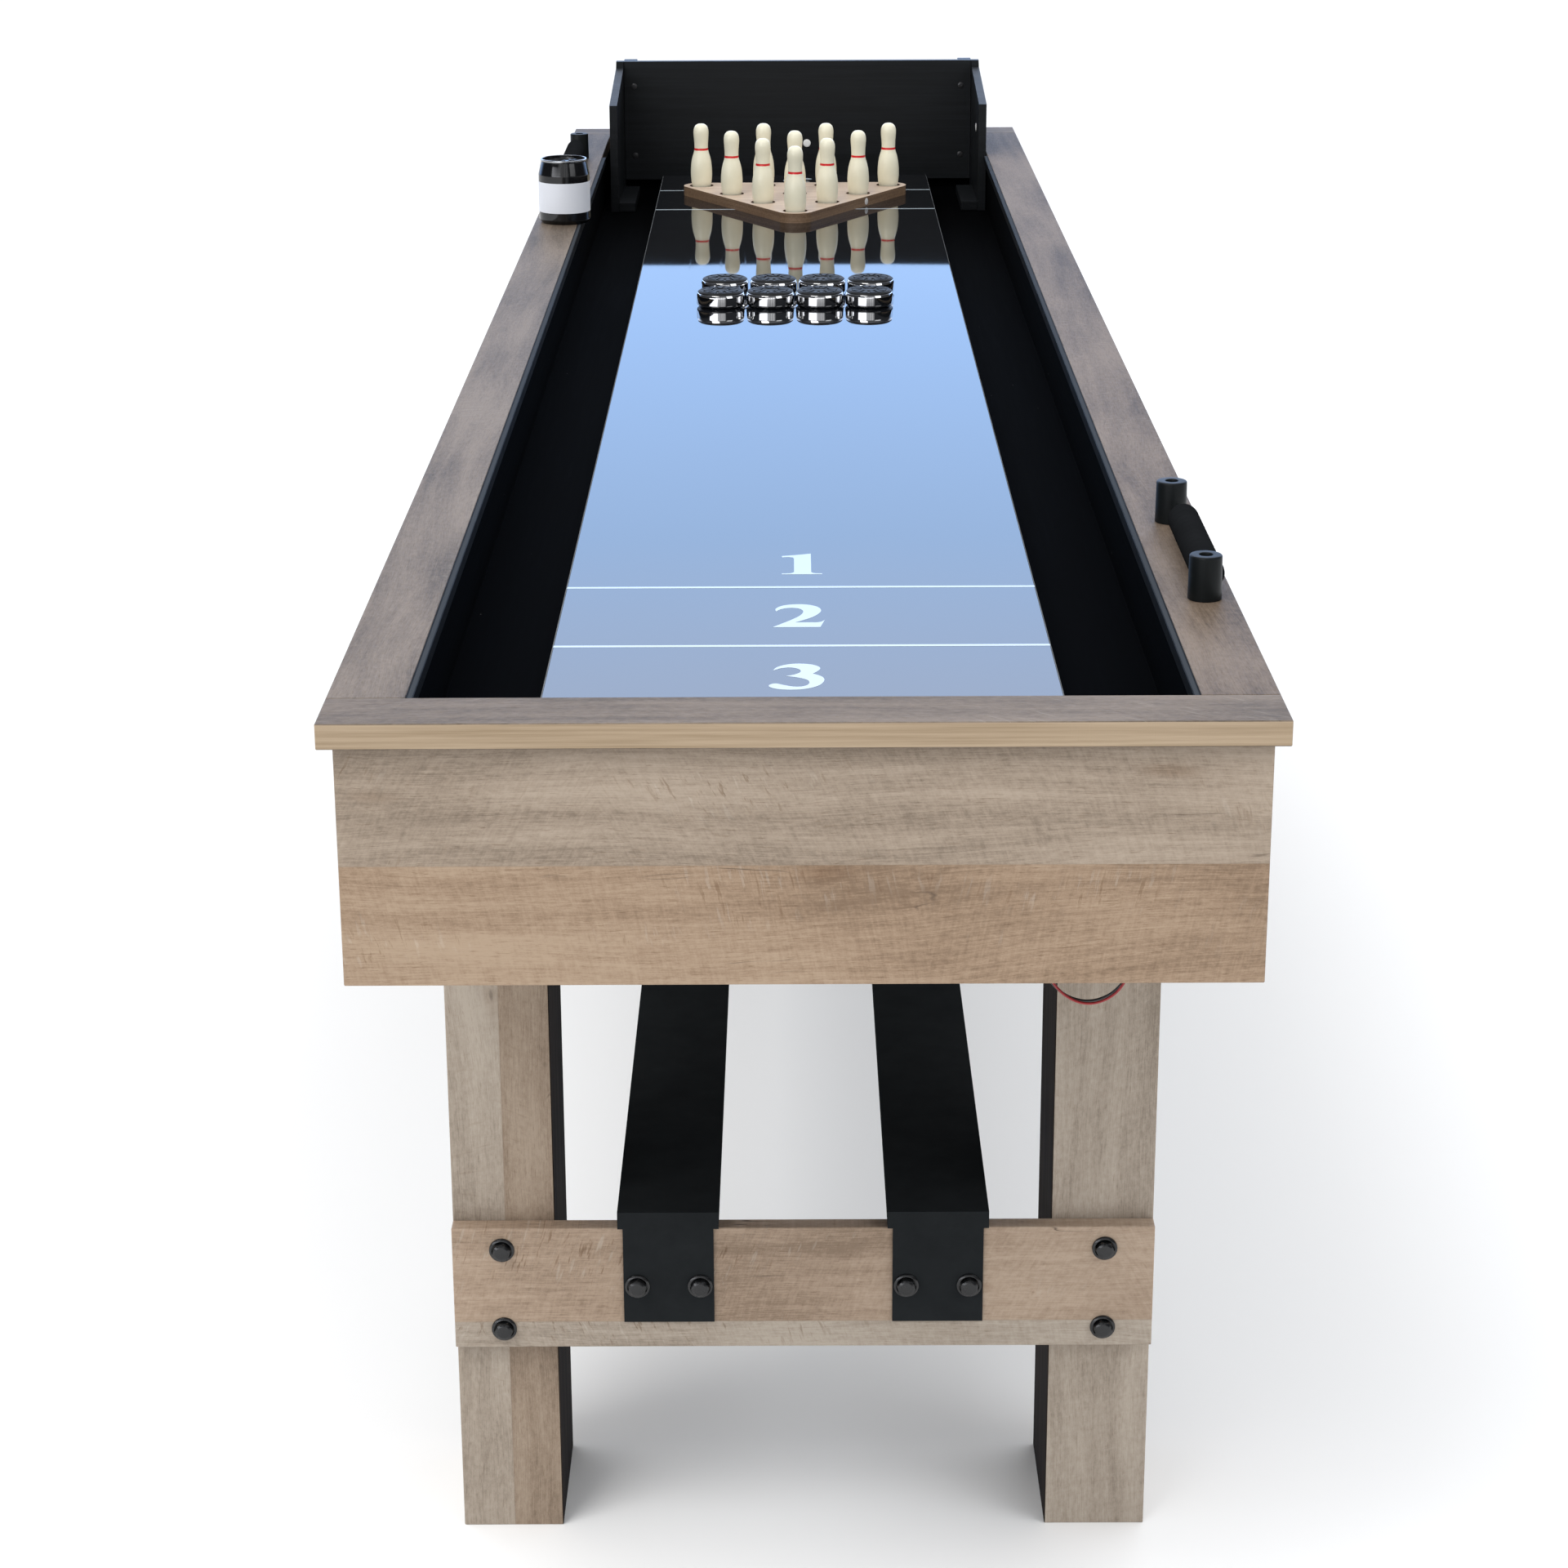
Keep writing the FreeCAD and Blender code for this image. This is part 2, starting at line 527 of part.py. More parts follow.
def make_stretchers():
    reach = "leg_face + crossbar_thick"
    top = "crossbar_top + stretcher_flange"
    for name, side in SIDES.items():
        body = doc.addObject("PartDesign::Body", "Stretcher")
        half = "stretcher_wide / 2"
        pieces = [("-(%s)" % half, "-(%s) - stretcher_sheet" % reach, "-stretcher_sheet",
                   "stretcher_wide", "2 * (%s) + 2 * stretcher_sheet" % reach, "stretcher_sheet")]
        for low in ("-(%s)" % half, half + " - stretcher_sheet"):
            pieces.append((low, "-(%s)" % reach, "-stretcher_flange",
                           "stretcher_sheet", "2 * (%s)" % reach, "stretcher_flange"))
        for low in (reach, "-(%s) - stretcher_sheet" % reach):
            pieces.append(("-tab_wide / 2", low, "tab_low - (%s)" % top,
                           "tab_wide", "stretcher_sheet", top + " - tab_low"))
            pieces.append(("-(%s)" % half, low, "-stretcher_flange",
                           "stretcher_wide", "stretcher_sheet", "stretcher_flange"))
        for x, y, z, long_x, long_y, long_z in pieces:
            box = body.newObject("PartDesign::AdditiveBox", "Plate")
            bind(box, Length=long_x, Width=long_y, Height=long_z)
            place(box, x, y, z)
        for low in (reach, "-(%s) - stretcher_sheet" % reach):
            for half_step in (-0.5, 0.5):
                bore(body, "%g * tab_bolt_spacing" % half_step, low, "tab_bolt_height - (%s)" % top,
                     "bolt_hole", "stretcher_sheet", ((1, 0, 0), -90))
        node(place(body, "%d * stretcher_side" % side, 0, top), "stretcher_" + name)


def hex_bolt(shank, x, y, z, turn):
    """A hexagon flange bolt. Its flange's underside is at the point, its head on the local +Z side."""
    hexagon = bind(doc.addObject("Part::Prism", "Hexagon"), Circumradius="bolt_hex_radius",
                   Height="bolt_hex_high + bolt_flange_thick")
    hexagon.Polygon = 6
    flange = bind(doc.addObject("Part::Cylinder", "Flange"), Radius="bolt_flange_radius", Height="bolt_flange_thick")
    rod = bind(doc.addObject("Part::Cylinder", "Shank"), Radius="bolt_radius", Height=shank)
    place(rod, 0, 0, "-(%s)" % shank)
    bolt = doc.addObject("Part::MultiFuse", "Bolt")
    bolt.Shapes = [hexagon, flange, rod]
    return place(bolt, x, y, z, turn)


def hex_nut(x, y, z, turn):
    """A hexagon nut that runs from the point along its local +Z."""
    hexagon = bind(doc.addObject("Part::Prism", "NutHexagon"), Circumradius="bolt_hex_radius", Height="bolt_hex_high")
    hexagon.Polygon = 6
    thread = bind(doc.addObject("Part::Cylinder", "Thread"), Radius="bolt_radius + 0.05", Height="bolt_hex_high")
    nut = doc.addObject("Part::Cut", "Nut")
    nut.Base = hexagon
    nut.Tool = thread
    return place(nut, x, y, z, turn)


def make_frame_bolts():
    fasteners = []
    outer = "(leg_face + crossbar_thick)"
    for end in ENDS.values():
        outward = ((1, 0, 0), -90 * end)
        inward = ((1, 0, 0), 90 * end)
        for side in SIDES.values():
            for height in ("crossbar_bolt_upper", "crossbar_bolt_lower"):
                fasteners.append(hex_bolt("crossbar_thick + leg_wall + 2", "%d * crossbar_bolt_side" % side,
                                          "%d * %s" % (end, outer), height, outward))
            for half in (-0.5, 0.5):
                across = "%d * stretcher_side + %g * tab_bolt_spacing" % (side, half)
                fasteners.append(hex_bolt("stretcher_sheet + crossbar_thick + bolt_hex_high + 2", across,
                                          "%d * (%s + stretcher_sheet)" % (end, outer), "tab_bolt_height", outward))
                fasteners.append(hex_nut(across, "%d * leg_face" % end, "tab_bolt_height", inward))
    for side in SIDES.values():
        for along in leg_bolt_places():
            fasteners.append(hex_bolt("apron_width / 2 - apron_thick + leg_bolt_bite - (leg_outer - leg_wide)",
                                      "%d * (leg_outer - leg_wide)" % side, along, leg_bolt_height(),
                                      ((0, 1, 0), -90 * side)))
    group("frame_bolts", fasteners)


# ---- scorers --------------------------------------------------------------

def make_scorers():
    posts, rods, screws = [], [], []
    rod_high = "rail_top + rod_rise"
    rod_inset = "(sqrt(post_base_radius^2 - (rod_side - post_side)^2) - rod_socket)"
    for name, side in SIDES.items():
        x = "%d * post_side" % side
        for along, inward in (("post_outer_end", 1), ("post_inner_end", -1)):
            y = "%d * %s" % (-side, along)
            post = turned([("screw_radius + 0.2", 0), ("post_base_radius", 0), ("post_top_radius", "post_high"),
                           ("counterbore_radius", "post_high"), ("counterbore_radius", "screw_seat"),
                           ("screw_radius + 0.2", "screw_seat")], x, y, "rail_top")
            towards = side * inward
            bore(post, "%d * (rod_side - post_side)" % side, "%d * %s" % (towards, rod_inset), "rod_rise",
                 "rod_radius + 0.05", "2 * rod_socket", ((1, 0, 0), -90 * towards))
            posts.append(post)
            head = bind(doc.addObject("Part::Cylinder", "ScrewHead"), Radius="screw_head_radius",
                        Height="screw_head_high")
            shank = bind(doc.addObject("Part::Cylinder", "ScrewShank"), Radius="screw_radius",
                         Height="screw_seat + rail_thick - 1")
            place(shank, 0, 0, "-screw_seat - rail_thick + 1")
            screw = doc.addObject("Part::MultiFuse", "PostScrew")
            screw.Shapes = [head, shank]
            screws.append(place(screw, x, y, "rail_top + screw_seat"))
        rod = bind(doc.addObject("Part::Cylinder", "Rod"), Radius="rod_radius",
                   Height="post_outer_end - post_inner_end - 2 * " + rod_inset)
        start = "post_outer_end - " + rod_inset
        place(rod, "%d * rod_side" % side, "%d * (%s)" % (-side, start), rod_high, ((1, 0, 0), -90 * side))
        rods.append(rod)
        beads = []
        for count in range(BEADS_ON_A_ROD):
            ring = bind(doc.addObject("Part::Cylinder", "Ring"), Radius="bead_radius", Height="bead_pitch - bead_gap")
            hole = bind(doc.addObject("Part::Cylinder", "Hole"), Radius="bead_bore", Height="bead_pitch - bead_gap")
            bead = doc.addObject("Part::Cut", "Bead")
            bead.Base = ring
            bead.Tool = hole
            along = "%d * (post_outer_end - post_base_radius - 0.5 - %d * bead_pitch)" % (-side, count)
            beads.append(place(bead, "%d * rod_side" % side, along, rod_high, ((1, 0, 0), -90 * side)))
        group("score_beads_" + name, beads)
    group("scorer_posts", posts)
    group("scorer_rods", rods)
    group("scorer_screws", screws)


# ---- bowling backboard, rack, pins ----------------------------------------

def make_backboard():
    inner_half = "backboard_half - cheek_thick"
    inner_left = "backboard_mid - (%s)" % inner_half
    inner_right = "backboard_mid + " + inner_half
    panel_back = "panel_front + panel_thick"
    panel = board(inner_left, "panel_front", "panel_low",
                  "2 * (%s)" % inner_half, "panel_thick", "panel_top - panel_low")
    screws = []
    for name, side in SIDES.items():
        profile = [("cheek_front", "deck_top"), ("cheek_back", "deck_top"), ("cheek_back", "cheek_top"),
                   ("cheek_crest + cheek_top - cheek_crest_high", "cheek_top"), ("cheek_crest", "cheek_crest_high"),
                   ("cheek_front", "cheek_shoulder")]
        cheek = sawn("YZ_Plane", profile, "cheek_thick",
                     inner_right if side > 0 else "backboard_mid - backboard_half", 0, 0)
        foot = board(inner_right + " - foot_wide" if side > 0 else inner_left, "cheek_front", "deck_top",
                     "foot_wide", "foot_back - cheek_front", "foot_thick")
        cleat_side = inner_right + " - cleat_size" if side > 0 else inner_left
        cleat = board(cleat_side, panel_back, "cleat_low", "cleat_size", "cleat_size", "cheek_top - cleat_low")
        screw_side = "backboard_mid + %d * panel_screw_side" % side
        bore(cleat, "%s - (%s)" % (screw_side, cleat_side), 0, "panel_screw_upper - cleat_low",
             "panel_screw_radius + 0.05", "panel_screw_long - panel_thick + 1", ((1, 0, 0), -90))
        for height, length in (("panel_screw_upper", "panel_screw_long"), ("panel_screw_lower", "panel_screw_short")):
            bore(panel, "%s - (%s)" % (screw_side, inner_left), 0, height + " - panel_low",
                 "panel_screw_radius + 0.05", "panel_thick", ((1, 0, 0), -90))
            head = bind(doc.addObject("Part::Cylinder", "PanelScrewHead"), Radius="panel_screw_head",
                        Height="panel_screw_head_high")
            shank = bind(doc.addObject("Part::Cylinder", "PanelScrewShank"), Radius="panel_screw_radius",
                         Height=length)
            place(shank, 0, 0, "-" + length)
            screw = doc.addObject("Part::MultiFuse", "PanelScrew")
            screw.Shapes = [head, shank]
            screws.append(place(screw, screw_side, "panel_front", height, ((1, 0, 0), 90)))
        group("backboard_cheek_" + name, [cheek, foot, cleat])
    node(panel, "backboard_panel")
    group("backboard_screws", screws)


def pin_places():
    """Each pin's place as a pair of formulas, from the head pin back."""
    return [("%g * pin_spacing" % (column - row / 2), "pin_front + %d * pin_spacing * sqrt(3) / 2" % row)
            for row in range(PIN_ROWS) for column in range(row + 1)]


def make_rack():
    half = "(1.5 * pin_spacing + rack_corner * sqrt(3))"
    tip = "pin_front - 2 * rack_corner"
    back = "pin_front + 1.5 * pin_spacing * sqrt(3) + rack_corner"
    rack = sawn("XY_Plane", [(0, tip), (half, back), ("-" + half, back)], "rack_thick", 0, 0, "board_top")
    doc.recompute()
    blank = rack.Tip
    upright = ["Edge%d" % (index + 1) for index, edge in enumerate(blank.Shape.Edges)
               if abs(edge.tangentAt(edge.FirstParameter).z) > 0.99]
    corners = rack.newObject("PartDesign::Fillet", "Corners")
    corners.Base = (blank, upright)
    bind(corners, Radius="rack_corner")
    for across, along in pin_places():
        bore(rack, across, along, "rack_thick - recess_deep", "recess_radius", "2 * recess_deep")
    node(rack, "pin_rack")


def make_pins():
    stand = "board_top + rack_thick - recess_deep"
    head_low = "pin_high - pin_head_radius"
    profile = [(0, 0), ("pin_base_radius", 0, "pin_belly_curve"),
               ("pin_neck_radius", "pin_neck_high", "-pin_throat_curve"),
               ("pin_head_radius", head_low, "pin_head_radius"), (0, "pin_high")]
    for number, (across, along) in enumerate(pin_places(), start=1):
        node(turned(profile, across, along, stand), "pin_%02d" % number)


# ---- pucks and wax can ----------------------------------------------------

def make_pucks():
    for row in range(2):
        for place_in_row in range(PUCKS_IN_A_ROW):
            x = "puck_row_side + %d * puck_spacing + %d * puck_row_shift" % (place_in_row, row)
            y = "puck_row_along + %d * puck_row_gap" % row
            weight = turned([(0, 0), ("puck_radius - puck_chamfer", 0), ("puck_radius", "puck_chamfer"),
                             ("puck_radius", "puck_high - puck_chamfer"),
                             ("puck_radius - puck_chamfer", "puck_high"), (0, "puck_high")], x, y, "board_top")
            cap = turned([(0, "puck_high"), ("cap_radius", "puck_high"), ("cap_radius", "puck_high + cap_high - 1"),
                          ("cap_radius - 1", "puck_high + cap_high"), (0, "puck_high + cap_high")],
                         x, y, "board_top")
            group("puck_%d" % (row * PUCKS_IN_A_ROW + place_in_row + 1), [weight, cap])


def make_can():
    profile = [(0, 0), ("can_radius - 3", 0), ("can_radius", 3), ("can_radius", "can_shoulder"),
               ("can_neck_radius", "can_high - 2"), ("can_neck_radius", "can_high"),
               ("can_neck_radius - 2", "can_high"), ("can_neck_radius - 2", "can_high - can_dish"),
               (0, "can_high - can_dish")]
    node(turned(profile, "can_side", "can_along", "rail_top"), "wax_can")


make_rails()
make_aprons()
make_gutters()
make_playfield()
make_lights()
make_battery_case()
make_leads()
make_legs()
make_crossbars()
make_stretchers()
make_frame_bolts()
make_scorers()
make_backboard()
make_rack()
make_pins()
make_pucks()
make_can()
doc.recompute()

failed = [obj.Label for obj in doc.Objects if "Invalid" in obj.State or "Error" in obj.State]
failed += [obj.Label for obj in nodes if obj.Shape.isNull() or not obj.Shape.isValid()]
if failed:
    raise RuntimeError("these objects did not build: " + ", ".join(failed))

os.makedirs("parts", exist_ok=True)
for obj in nodes:
    obj.Shape.exportStep("parts/%s.step" % obj.Label)
print(len(nodes), "sub-parts written")
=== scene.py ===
"""A nine-foot home shuffleboard table with its bowling set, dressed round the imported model.

X runs across the table, Y along it with the bowling end at +Y, and Z is up. Blender's
lengths are metres; MM turns the millimetres of the CAD source into them.
"""

import json
import math
import random

import bmesh
import bpy
from mathutils import Matrix, Vector

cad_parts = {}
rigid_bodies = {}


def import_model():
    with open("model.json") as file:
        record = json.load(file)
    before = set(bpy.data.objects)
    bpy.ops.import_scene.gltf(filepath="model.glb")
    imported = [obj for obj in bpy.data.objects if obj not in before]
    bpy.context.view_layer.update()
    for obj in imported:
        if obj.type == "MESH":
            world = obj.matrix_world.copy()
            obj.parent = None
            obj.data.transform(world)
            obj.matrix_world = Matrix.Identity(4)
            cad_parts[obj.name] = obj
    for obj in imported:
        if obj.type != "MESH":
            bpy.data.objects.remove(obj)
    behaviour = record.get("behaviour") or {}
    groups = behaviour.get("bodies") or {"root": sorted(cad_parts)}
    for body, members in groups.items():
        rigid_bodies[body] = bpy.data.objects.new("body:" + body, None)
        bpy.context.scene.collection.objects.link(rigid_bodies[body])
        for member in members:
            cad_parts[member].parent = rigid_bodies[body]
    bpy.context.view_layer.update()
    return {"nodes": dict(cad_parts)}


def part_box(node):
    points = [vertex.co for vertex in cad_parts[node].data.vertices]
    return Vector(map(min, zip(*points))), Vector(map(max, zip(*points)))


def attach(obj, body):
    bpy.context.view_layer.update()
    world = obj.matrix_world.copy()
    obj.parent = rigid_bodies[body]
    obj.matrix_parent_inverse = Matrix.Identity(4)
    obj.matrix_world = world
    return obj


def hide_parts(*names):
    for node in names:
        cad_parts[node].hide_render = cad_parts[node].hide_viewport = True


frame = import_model()
NODES = frame["nodes"]
MM = 0.001
TAU = 2 * math.pi

# Places in the CAD source's millimetres. The table is symmetric, so side and end give the sign.
RAIL_TOP, BOARD_TOP = 787, 747
POST_SIDE, POST_PLACES = 283, (1087, 867)
BEAD_COUNT, BEAD_PITCH = 15, 10.8
CROSSBAR_BOLT_SIDE, CROSSBAR_BOLT_HEIGHTS = 232.6, (250.8, 183.1)
TAB_SIDE, TAB_BOLT_HALF, TAB_BOLT_HEIGHT = 104, 24.3, 220.5
LEG_BOLT_HEAD, LEG_MIDDLE, LEG_BOLT_HALF, LEG_BOLT_HEIGHT = 192, 947.5, 30, 655
BACKBOARD_FACE = 1303
SCORING_LINES = (907, 1065)


# ---- camera ---------------------------------------------------------------

def make_camera():
    """The fixed camera: well above the near end, looking down the length of the table."""
    pitch, yaw, roll = 0.32594, -0.00222, -0.00453
    forward = Vector((math.sin(yaw) * math.cos(pitch), math.cos(yaw) * math.cos(pitch), -math.sin(pitch)))
    level = Vector((math.cos(yaw), -math.sin(yaw), 0))
    upright = level.cross(forward)
    right = level * math.cos(roll) + upright * math.sin(roll)
    up = upright * math.cos(roll) - level * math.sin(roll)
    data = bpy.data.cameras.new("Camera")
    data.sensor_width = 36
    data.lens = 77.015
    camera = bpy.data.objects.new("Camera", data)
    axes = Matrix((right, up, -forward)).transposed().to_4x4()
    camera.matrix_world = Matrix.Translation((-0.00796, -3.36188, 1.41938)) @ axes
    bpy.context.scene.collection.objects.link(camera)
    bpy.context.scene.camera = camera


make_camera()


# ---- shading --------------------------------------------------------------

def add_node(tree, kind, inputs=(), output=0, **settings):
    """Add a node with its settings and inputs, which are sockets or values, and give one output."""
    made = tree.nodes.new(kind)
    for name, setting in settings.items():
        setattr(made, name, setting)
    for key, given in dict(inputs).items():
        if isinstance(given, bpy.types.NodeSocket):
            tree.links.new(given, made.inputs[key])
        elif given is not None:
            made.inputs[key].default_value = given
    return made.outputs[output]


def add_ramp(tree, given, stops):
    made = tree.nodes.new("ShaderNodeValToRGB")
    elements = made.color_ramp.elements
    while len(elements) < len(stops):
        elements.new(0.5)
    for element, (position, tone) in zip(elements, stops):
        element.position = position
        element.color = colour(tone)
    tree.links.new(given, made.inputs[0])
    return made.outputs[0]


class Shade:
    """One procedural material, built a node at a time. Sockets stand for values."""

    def __init__(self, name):
        self.material = bpy.data.materials.new(name)
        self.material.use_nodes = True
        self.tree = self.material.node_tree
        self.tree.nodes.clear()
        self.shader = self.tree.nodes.new("ShaderNodeBsdfPrincipled")
        output = self.tree.nodes.new("ShaderNodeOutputMaterial")
        self.tree.links.new(self.shader.outputs[0], output.inputs["Surface"])
        coordinates = self.tree.nodes.new("ShaderNodeTexCoord")
        self.place = coordinates.outputs["Object"]
        self.facing = coordinates.outputs["Normal"]

    def node(self, kind, inputs=(), output=0, **settings):
        return add_node(self.tree, kind, inputs, output, **settings)

    def math(self, operation, a, b=None, c=None, clamp=False):
        return self.node("ShaderNodeMath", {0: a, 1: b, 2: c}, operation=operation, use_clamp=clamp)

    def split(self, vector):
        made = self.tree.nodes.new("ShaderNodeSeparateXYZ")
        self.tree.links.new(vector, made.inputs[0])
        return made.outputs[0], made.outputs[1], made.outputs[2]

    def join(self, x, y, z):
        return self.node("ShaderNodeCombineXYZ", {0: x, 1: y, 2: z})

    def stretch(self, vector, scale, shift=(0, 0, 0), turn=(0, 0, 0)):
        return self.node("ShaderNodeMapping", {"Vector": vector, "Location": shift, "Rotation": turn, "Scale": scale})

    def noise(self, vector, scale=1.0, detail=2.0, rough=0.5, distortion=0.0):
        return self.node("ShaderNodeTexNoise", {"Vector": vector, "Scale": scale, "Detail": detail,
                                                "Roughness": rough, "Distortion": distortion})

    def spots(self, vector, scale=1.0):
        return self.node("ShaderNodeTexVoronoi", {"Vector": vector, "Scale": scale})

    def between(self, given, low, high, new_low=0.0, new_high=1.0):
        """A smooth step of a value from low to high."""
        return self.node("ShaderNodeMapRange", {0: given, 1: low, 2: high, 3: new_low, 4: new_high},
                         interpolation_type="SMOOTHSTEP")

    def mix(self, share, a, b, blend="MIX"):
        return self.node("ShaderNodeMix", {0: share, 6: colour(a), 7: colour(b)}, 2,
                         data_type="RGBA", blend_type=blend)

    def ramp(self, given, *stops):
        return add_ramp(self.tree, given, stops)

    def bump(self, height, distance, strength=1.0):
        return self.node("ShaderNodeBump", {"Height": height, "Distance": distance, "Strength": strength})

    def set(self, **values):
        """Values for the shader's sockets, by name with underscores for spaces."""
        for name, given in values.items():
            socket = self.shader.inputs[name.replace("_", " ")]
            if isinstance(given, bpy.types.NodeSocket):
                self.tree.links.new(given, socket)
            else:
                socket.default_value = colour(given) if isinstance(given, tuple) else given
        return self.material


def colour(tone):
    """A three-number tone gets its alpha; sockets and plain numbers pass."""
    return (*tone, 1.0) if isinstance(tone, tuple) and len(tone) == 3 else tone


AXES = {"X": 0, "Y": 1, "Z": 2}


def woodgrain(name, grain, across, heart, seams=(), shift=0.0, tones=None, saw=0.5, cracks=1.0, extra=None,
              rough=0.5, shine=0.14):
    """Greige driftwood laminate: planks with flowing grain, pores, saw marks, cracks and knots.

    grain and across name the axes along and across the planks, heart is the middle of the piece
    across the grain, and seams are where planks meet. tones holds (dark, middle, light) for each
    plank in turn.
    """
    shade = Shade(name)
    place = shade.split(shade.place)
    depth = next(axis for axis in "XYZ" if axis not in (grain, across))
    along, side, deep = place[AXES[grain]], place[AXES[across]], place[AXES[depth]]
    plank = None
    for seam in seams:
        past = shade.math("GREATER_THAN", side, seam)
        plank = past if plank is None else shade.math("ADD", plank, past)
    if plank is None:
        along_here, side_here = shade.math("ADD", along, shift), side
    else:
        along_here = shade.math("ADD", along, shade.math("MULTIPLY_ADD", plank, 3.71, shift))
        side_here = shade.math("MULTIPLY_ADD", plank, 0.37, side)
    wood = shade.join(along_here, side_here, deep)
    wander = shade.noise(shade.stretch(wood, (1.7, 6, 6)), detail=2)
    wandering = shade.math("MULTIPLY_ADD", wander, 0.075, side_here)
    flowing = shade.join(along_here, wandering, deep)
    figure = shade.noise(shade.stretch(flowing, (3.4, 62, 62)), detail=6, rough=0.62)
    cloud = shade.noise(shade.stretch(wood, (4.0, 9, 9), (3, 1, 7)), detail=3, rough=0.5)
    pores = shade.noise(shade.stretch(flowing, (85, 1000, 1000)), detail=2, rough=0.6)
    fibres = shade.noise(shade.stretch(flowing, (34, 1300, 1300)), detail=2, rough=0.6)
    mottle = shade.noise(shade.stretch(wood, (150, 330, 330)), detail=4, rough=0.8)

    # saw marks: thin arcs across the grain, about a centre far to one side
    from_centre = shade.join(shade.math("ADD", shade.math("PINGPONG", along_here, 0.7), 0.55),
                             shade.math("ADD", side, 0.28 - heart), 0.0)
    radius = shade.node("ShaderNodeVectorMath", {0: from_centre}, 1, operation="LENGTH")
    legs = shade.split(from_centre)
    angle = shade.math("ARCTAN2", legs[1], legs[0])
    blade = shade.noise(shade.stretch(shade.join(radius, angle, plank or 0.0), (250, 36, 5)), detail=3, rough=0.6)
    fine_blade = shade.noise(shade.stretch(shade.join(radius, angle, plank or 0.0), (620, 75, 5), (3, 1, 0)), detail=2)

    body = 0.5
    for layer, share in ((figure, 0.42), (cloud, 0.50), (mottle, 0.34), (fibres, 0.26), (fine_blade, 0.10 * saw),
                         (blade, 0.16 * saw)):
        body = shade.math("MULTIPLY_ADD", shade.math("SUBTRACT", layer, 0.5), share, body)

    def toned(plank_tones):
        dark, middle, light = plank_tones
        return shade.ramp(body, (0.36, dark), (0.49, middle), (0.62, light))

    tones = tones or [GREIGE]
    surface = toned(tones[0])
    for number, plank_tones in enumerate(tones[1:], start=1):
        share = shade.math("GREATER_THAN", plank, number - 0.5)
        surface = shade.mix(share, surface, toned(plank_tones))
    pored = shade.between(pores, 0.60, 0.72, 0, 0.5)
    surface = shade.mix(pored, surface, (0.60, 0.53, 0.47), "MULTIPLY")

    bitten = shade.between(shade.noise(shade.stretch(wood, (5.0, 17, 17), (9, 4, 2)), detail=3), 0.48, 0.66)
    marks = shade.math("MULTIPLY", shade.between(blade, 0.57, 0.68), bitten)
    marks = shade.math("MULTIPLY", marks, 0.75 * saw)
    surface = shade.mix(marks, surface, (0.58, 0.51, 0.45), "MULTIPLY")
    scraped = shade.math("MULTIPLY", shade.between(blade, 0.43, 0.32), bitten)
    surface = shade.mix(shade.math("MULTIPLY", scraped, 0.22 * saw), surface, (0.60, 0.54, 0.46))

    # cracks: thin dark lines that follow the grain for a few centimetres
    split = shade.noise(shade.stretch(flowing, (4.2, 34, 34), (1, 5, 3)), detail=3, rough=0.6)
    line = shade.between(shade.math("ABSOLUTE", shade.math("SUBTRACT", split, 0.5)), 0.0, 0.0085, 1, 0)
    open_here = shade.between(shade.noise(shade.stretch(wood, (12, 34, 34), (2, 8, 5)), detail=1), 0.63, 0.72)
    crack = shade.math("MULTIPLY", shade.math("MULTIPLY", line, open_here), 0.8 * cracks)
    surface = shade.mix(crack, surface, (0.085, 0.060, 0.044))

    # knots: a few small dark eyes with a brown halo
    eye = shade.spots(shade.stretch(flowing, (5.1, 16, 16), (4, 2, 9)))
    halo = shade.math("MULTIPLY", shade.between(eye, 0.16, 0.04), 0.45 * cracks)
    surface = shade.mix(halo, surface, (0.55, 0.42, 0.32), "MULTIPLY")
    knot = shade.math("MULTIPLY", shade.between(eye, 0.040, 0.022), 0.85 * cracks)
    surface = shade.mix(knot, surface, (0.06, 0.042, 0.032))

    for seam in seams:  # the printed joint between two planks
        near = shade.math("ABSOLUTE", shade.math("SUBTRACT", side, seam))
        surface = shade.mix(shade.between(near, 0.0003, 0.0011, 0.16, 0), surface, (0.20, 0.15, 0.11))
    depth_map = shade.math("SUBTRACT", shade.math("MULTIPLY_ADD", pores, -0.7, figure), shade.math("ADD", crack, marks))
    roughness = shade.math("MULTIPLY_ADD", pores, 0.22, rough - 0.08)
    if extra:
        surface, roughness = extra(shade, surface, roughness, place)
    return shade.set(Base_Color=surface, Roughness=roughness, Specular_IOR_Level=shine,
                     Normal=shade.bump(depth_map, 0.00022, 0.5))


GREIGE = ((0.19, 0.149, 0.113), (0.287, 0.229, 0.175), (0.358, 0.293, 0.229))
TAN = ((0.194, 0.132, 0.087), (0.293, 0.207, 0.14), (0.365, 0.272, 0.19))
PALE = ((0.229, 0.187, 0.146), (0.339, 0.285, 0.23), (0.418, 0.361, 0.297))
BROWN = ((0.172, 0.126, 0.091), (0.271, 0.206, 0.151), (0.344, 0.273, 0.207))
RAIL_GREY = ((0.082, 0.063, 0.046), (0.149, 0.116, 0.088), (0.204, 0.163, 0.127))
RAIL_BROWN = ((0.078, 0.055, 0.037), (0.141, 0.104, 0.075), (0.194, 0.148, 0.11))
PALE_TAN = ((0.238, 0.172, 0.121), (0.345, 0.256, 0.186), (0.425, 0.328, 0.246))


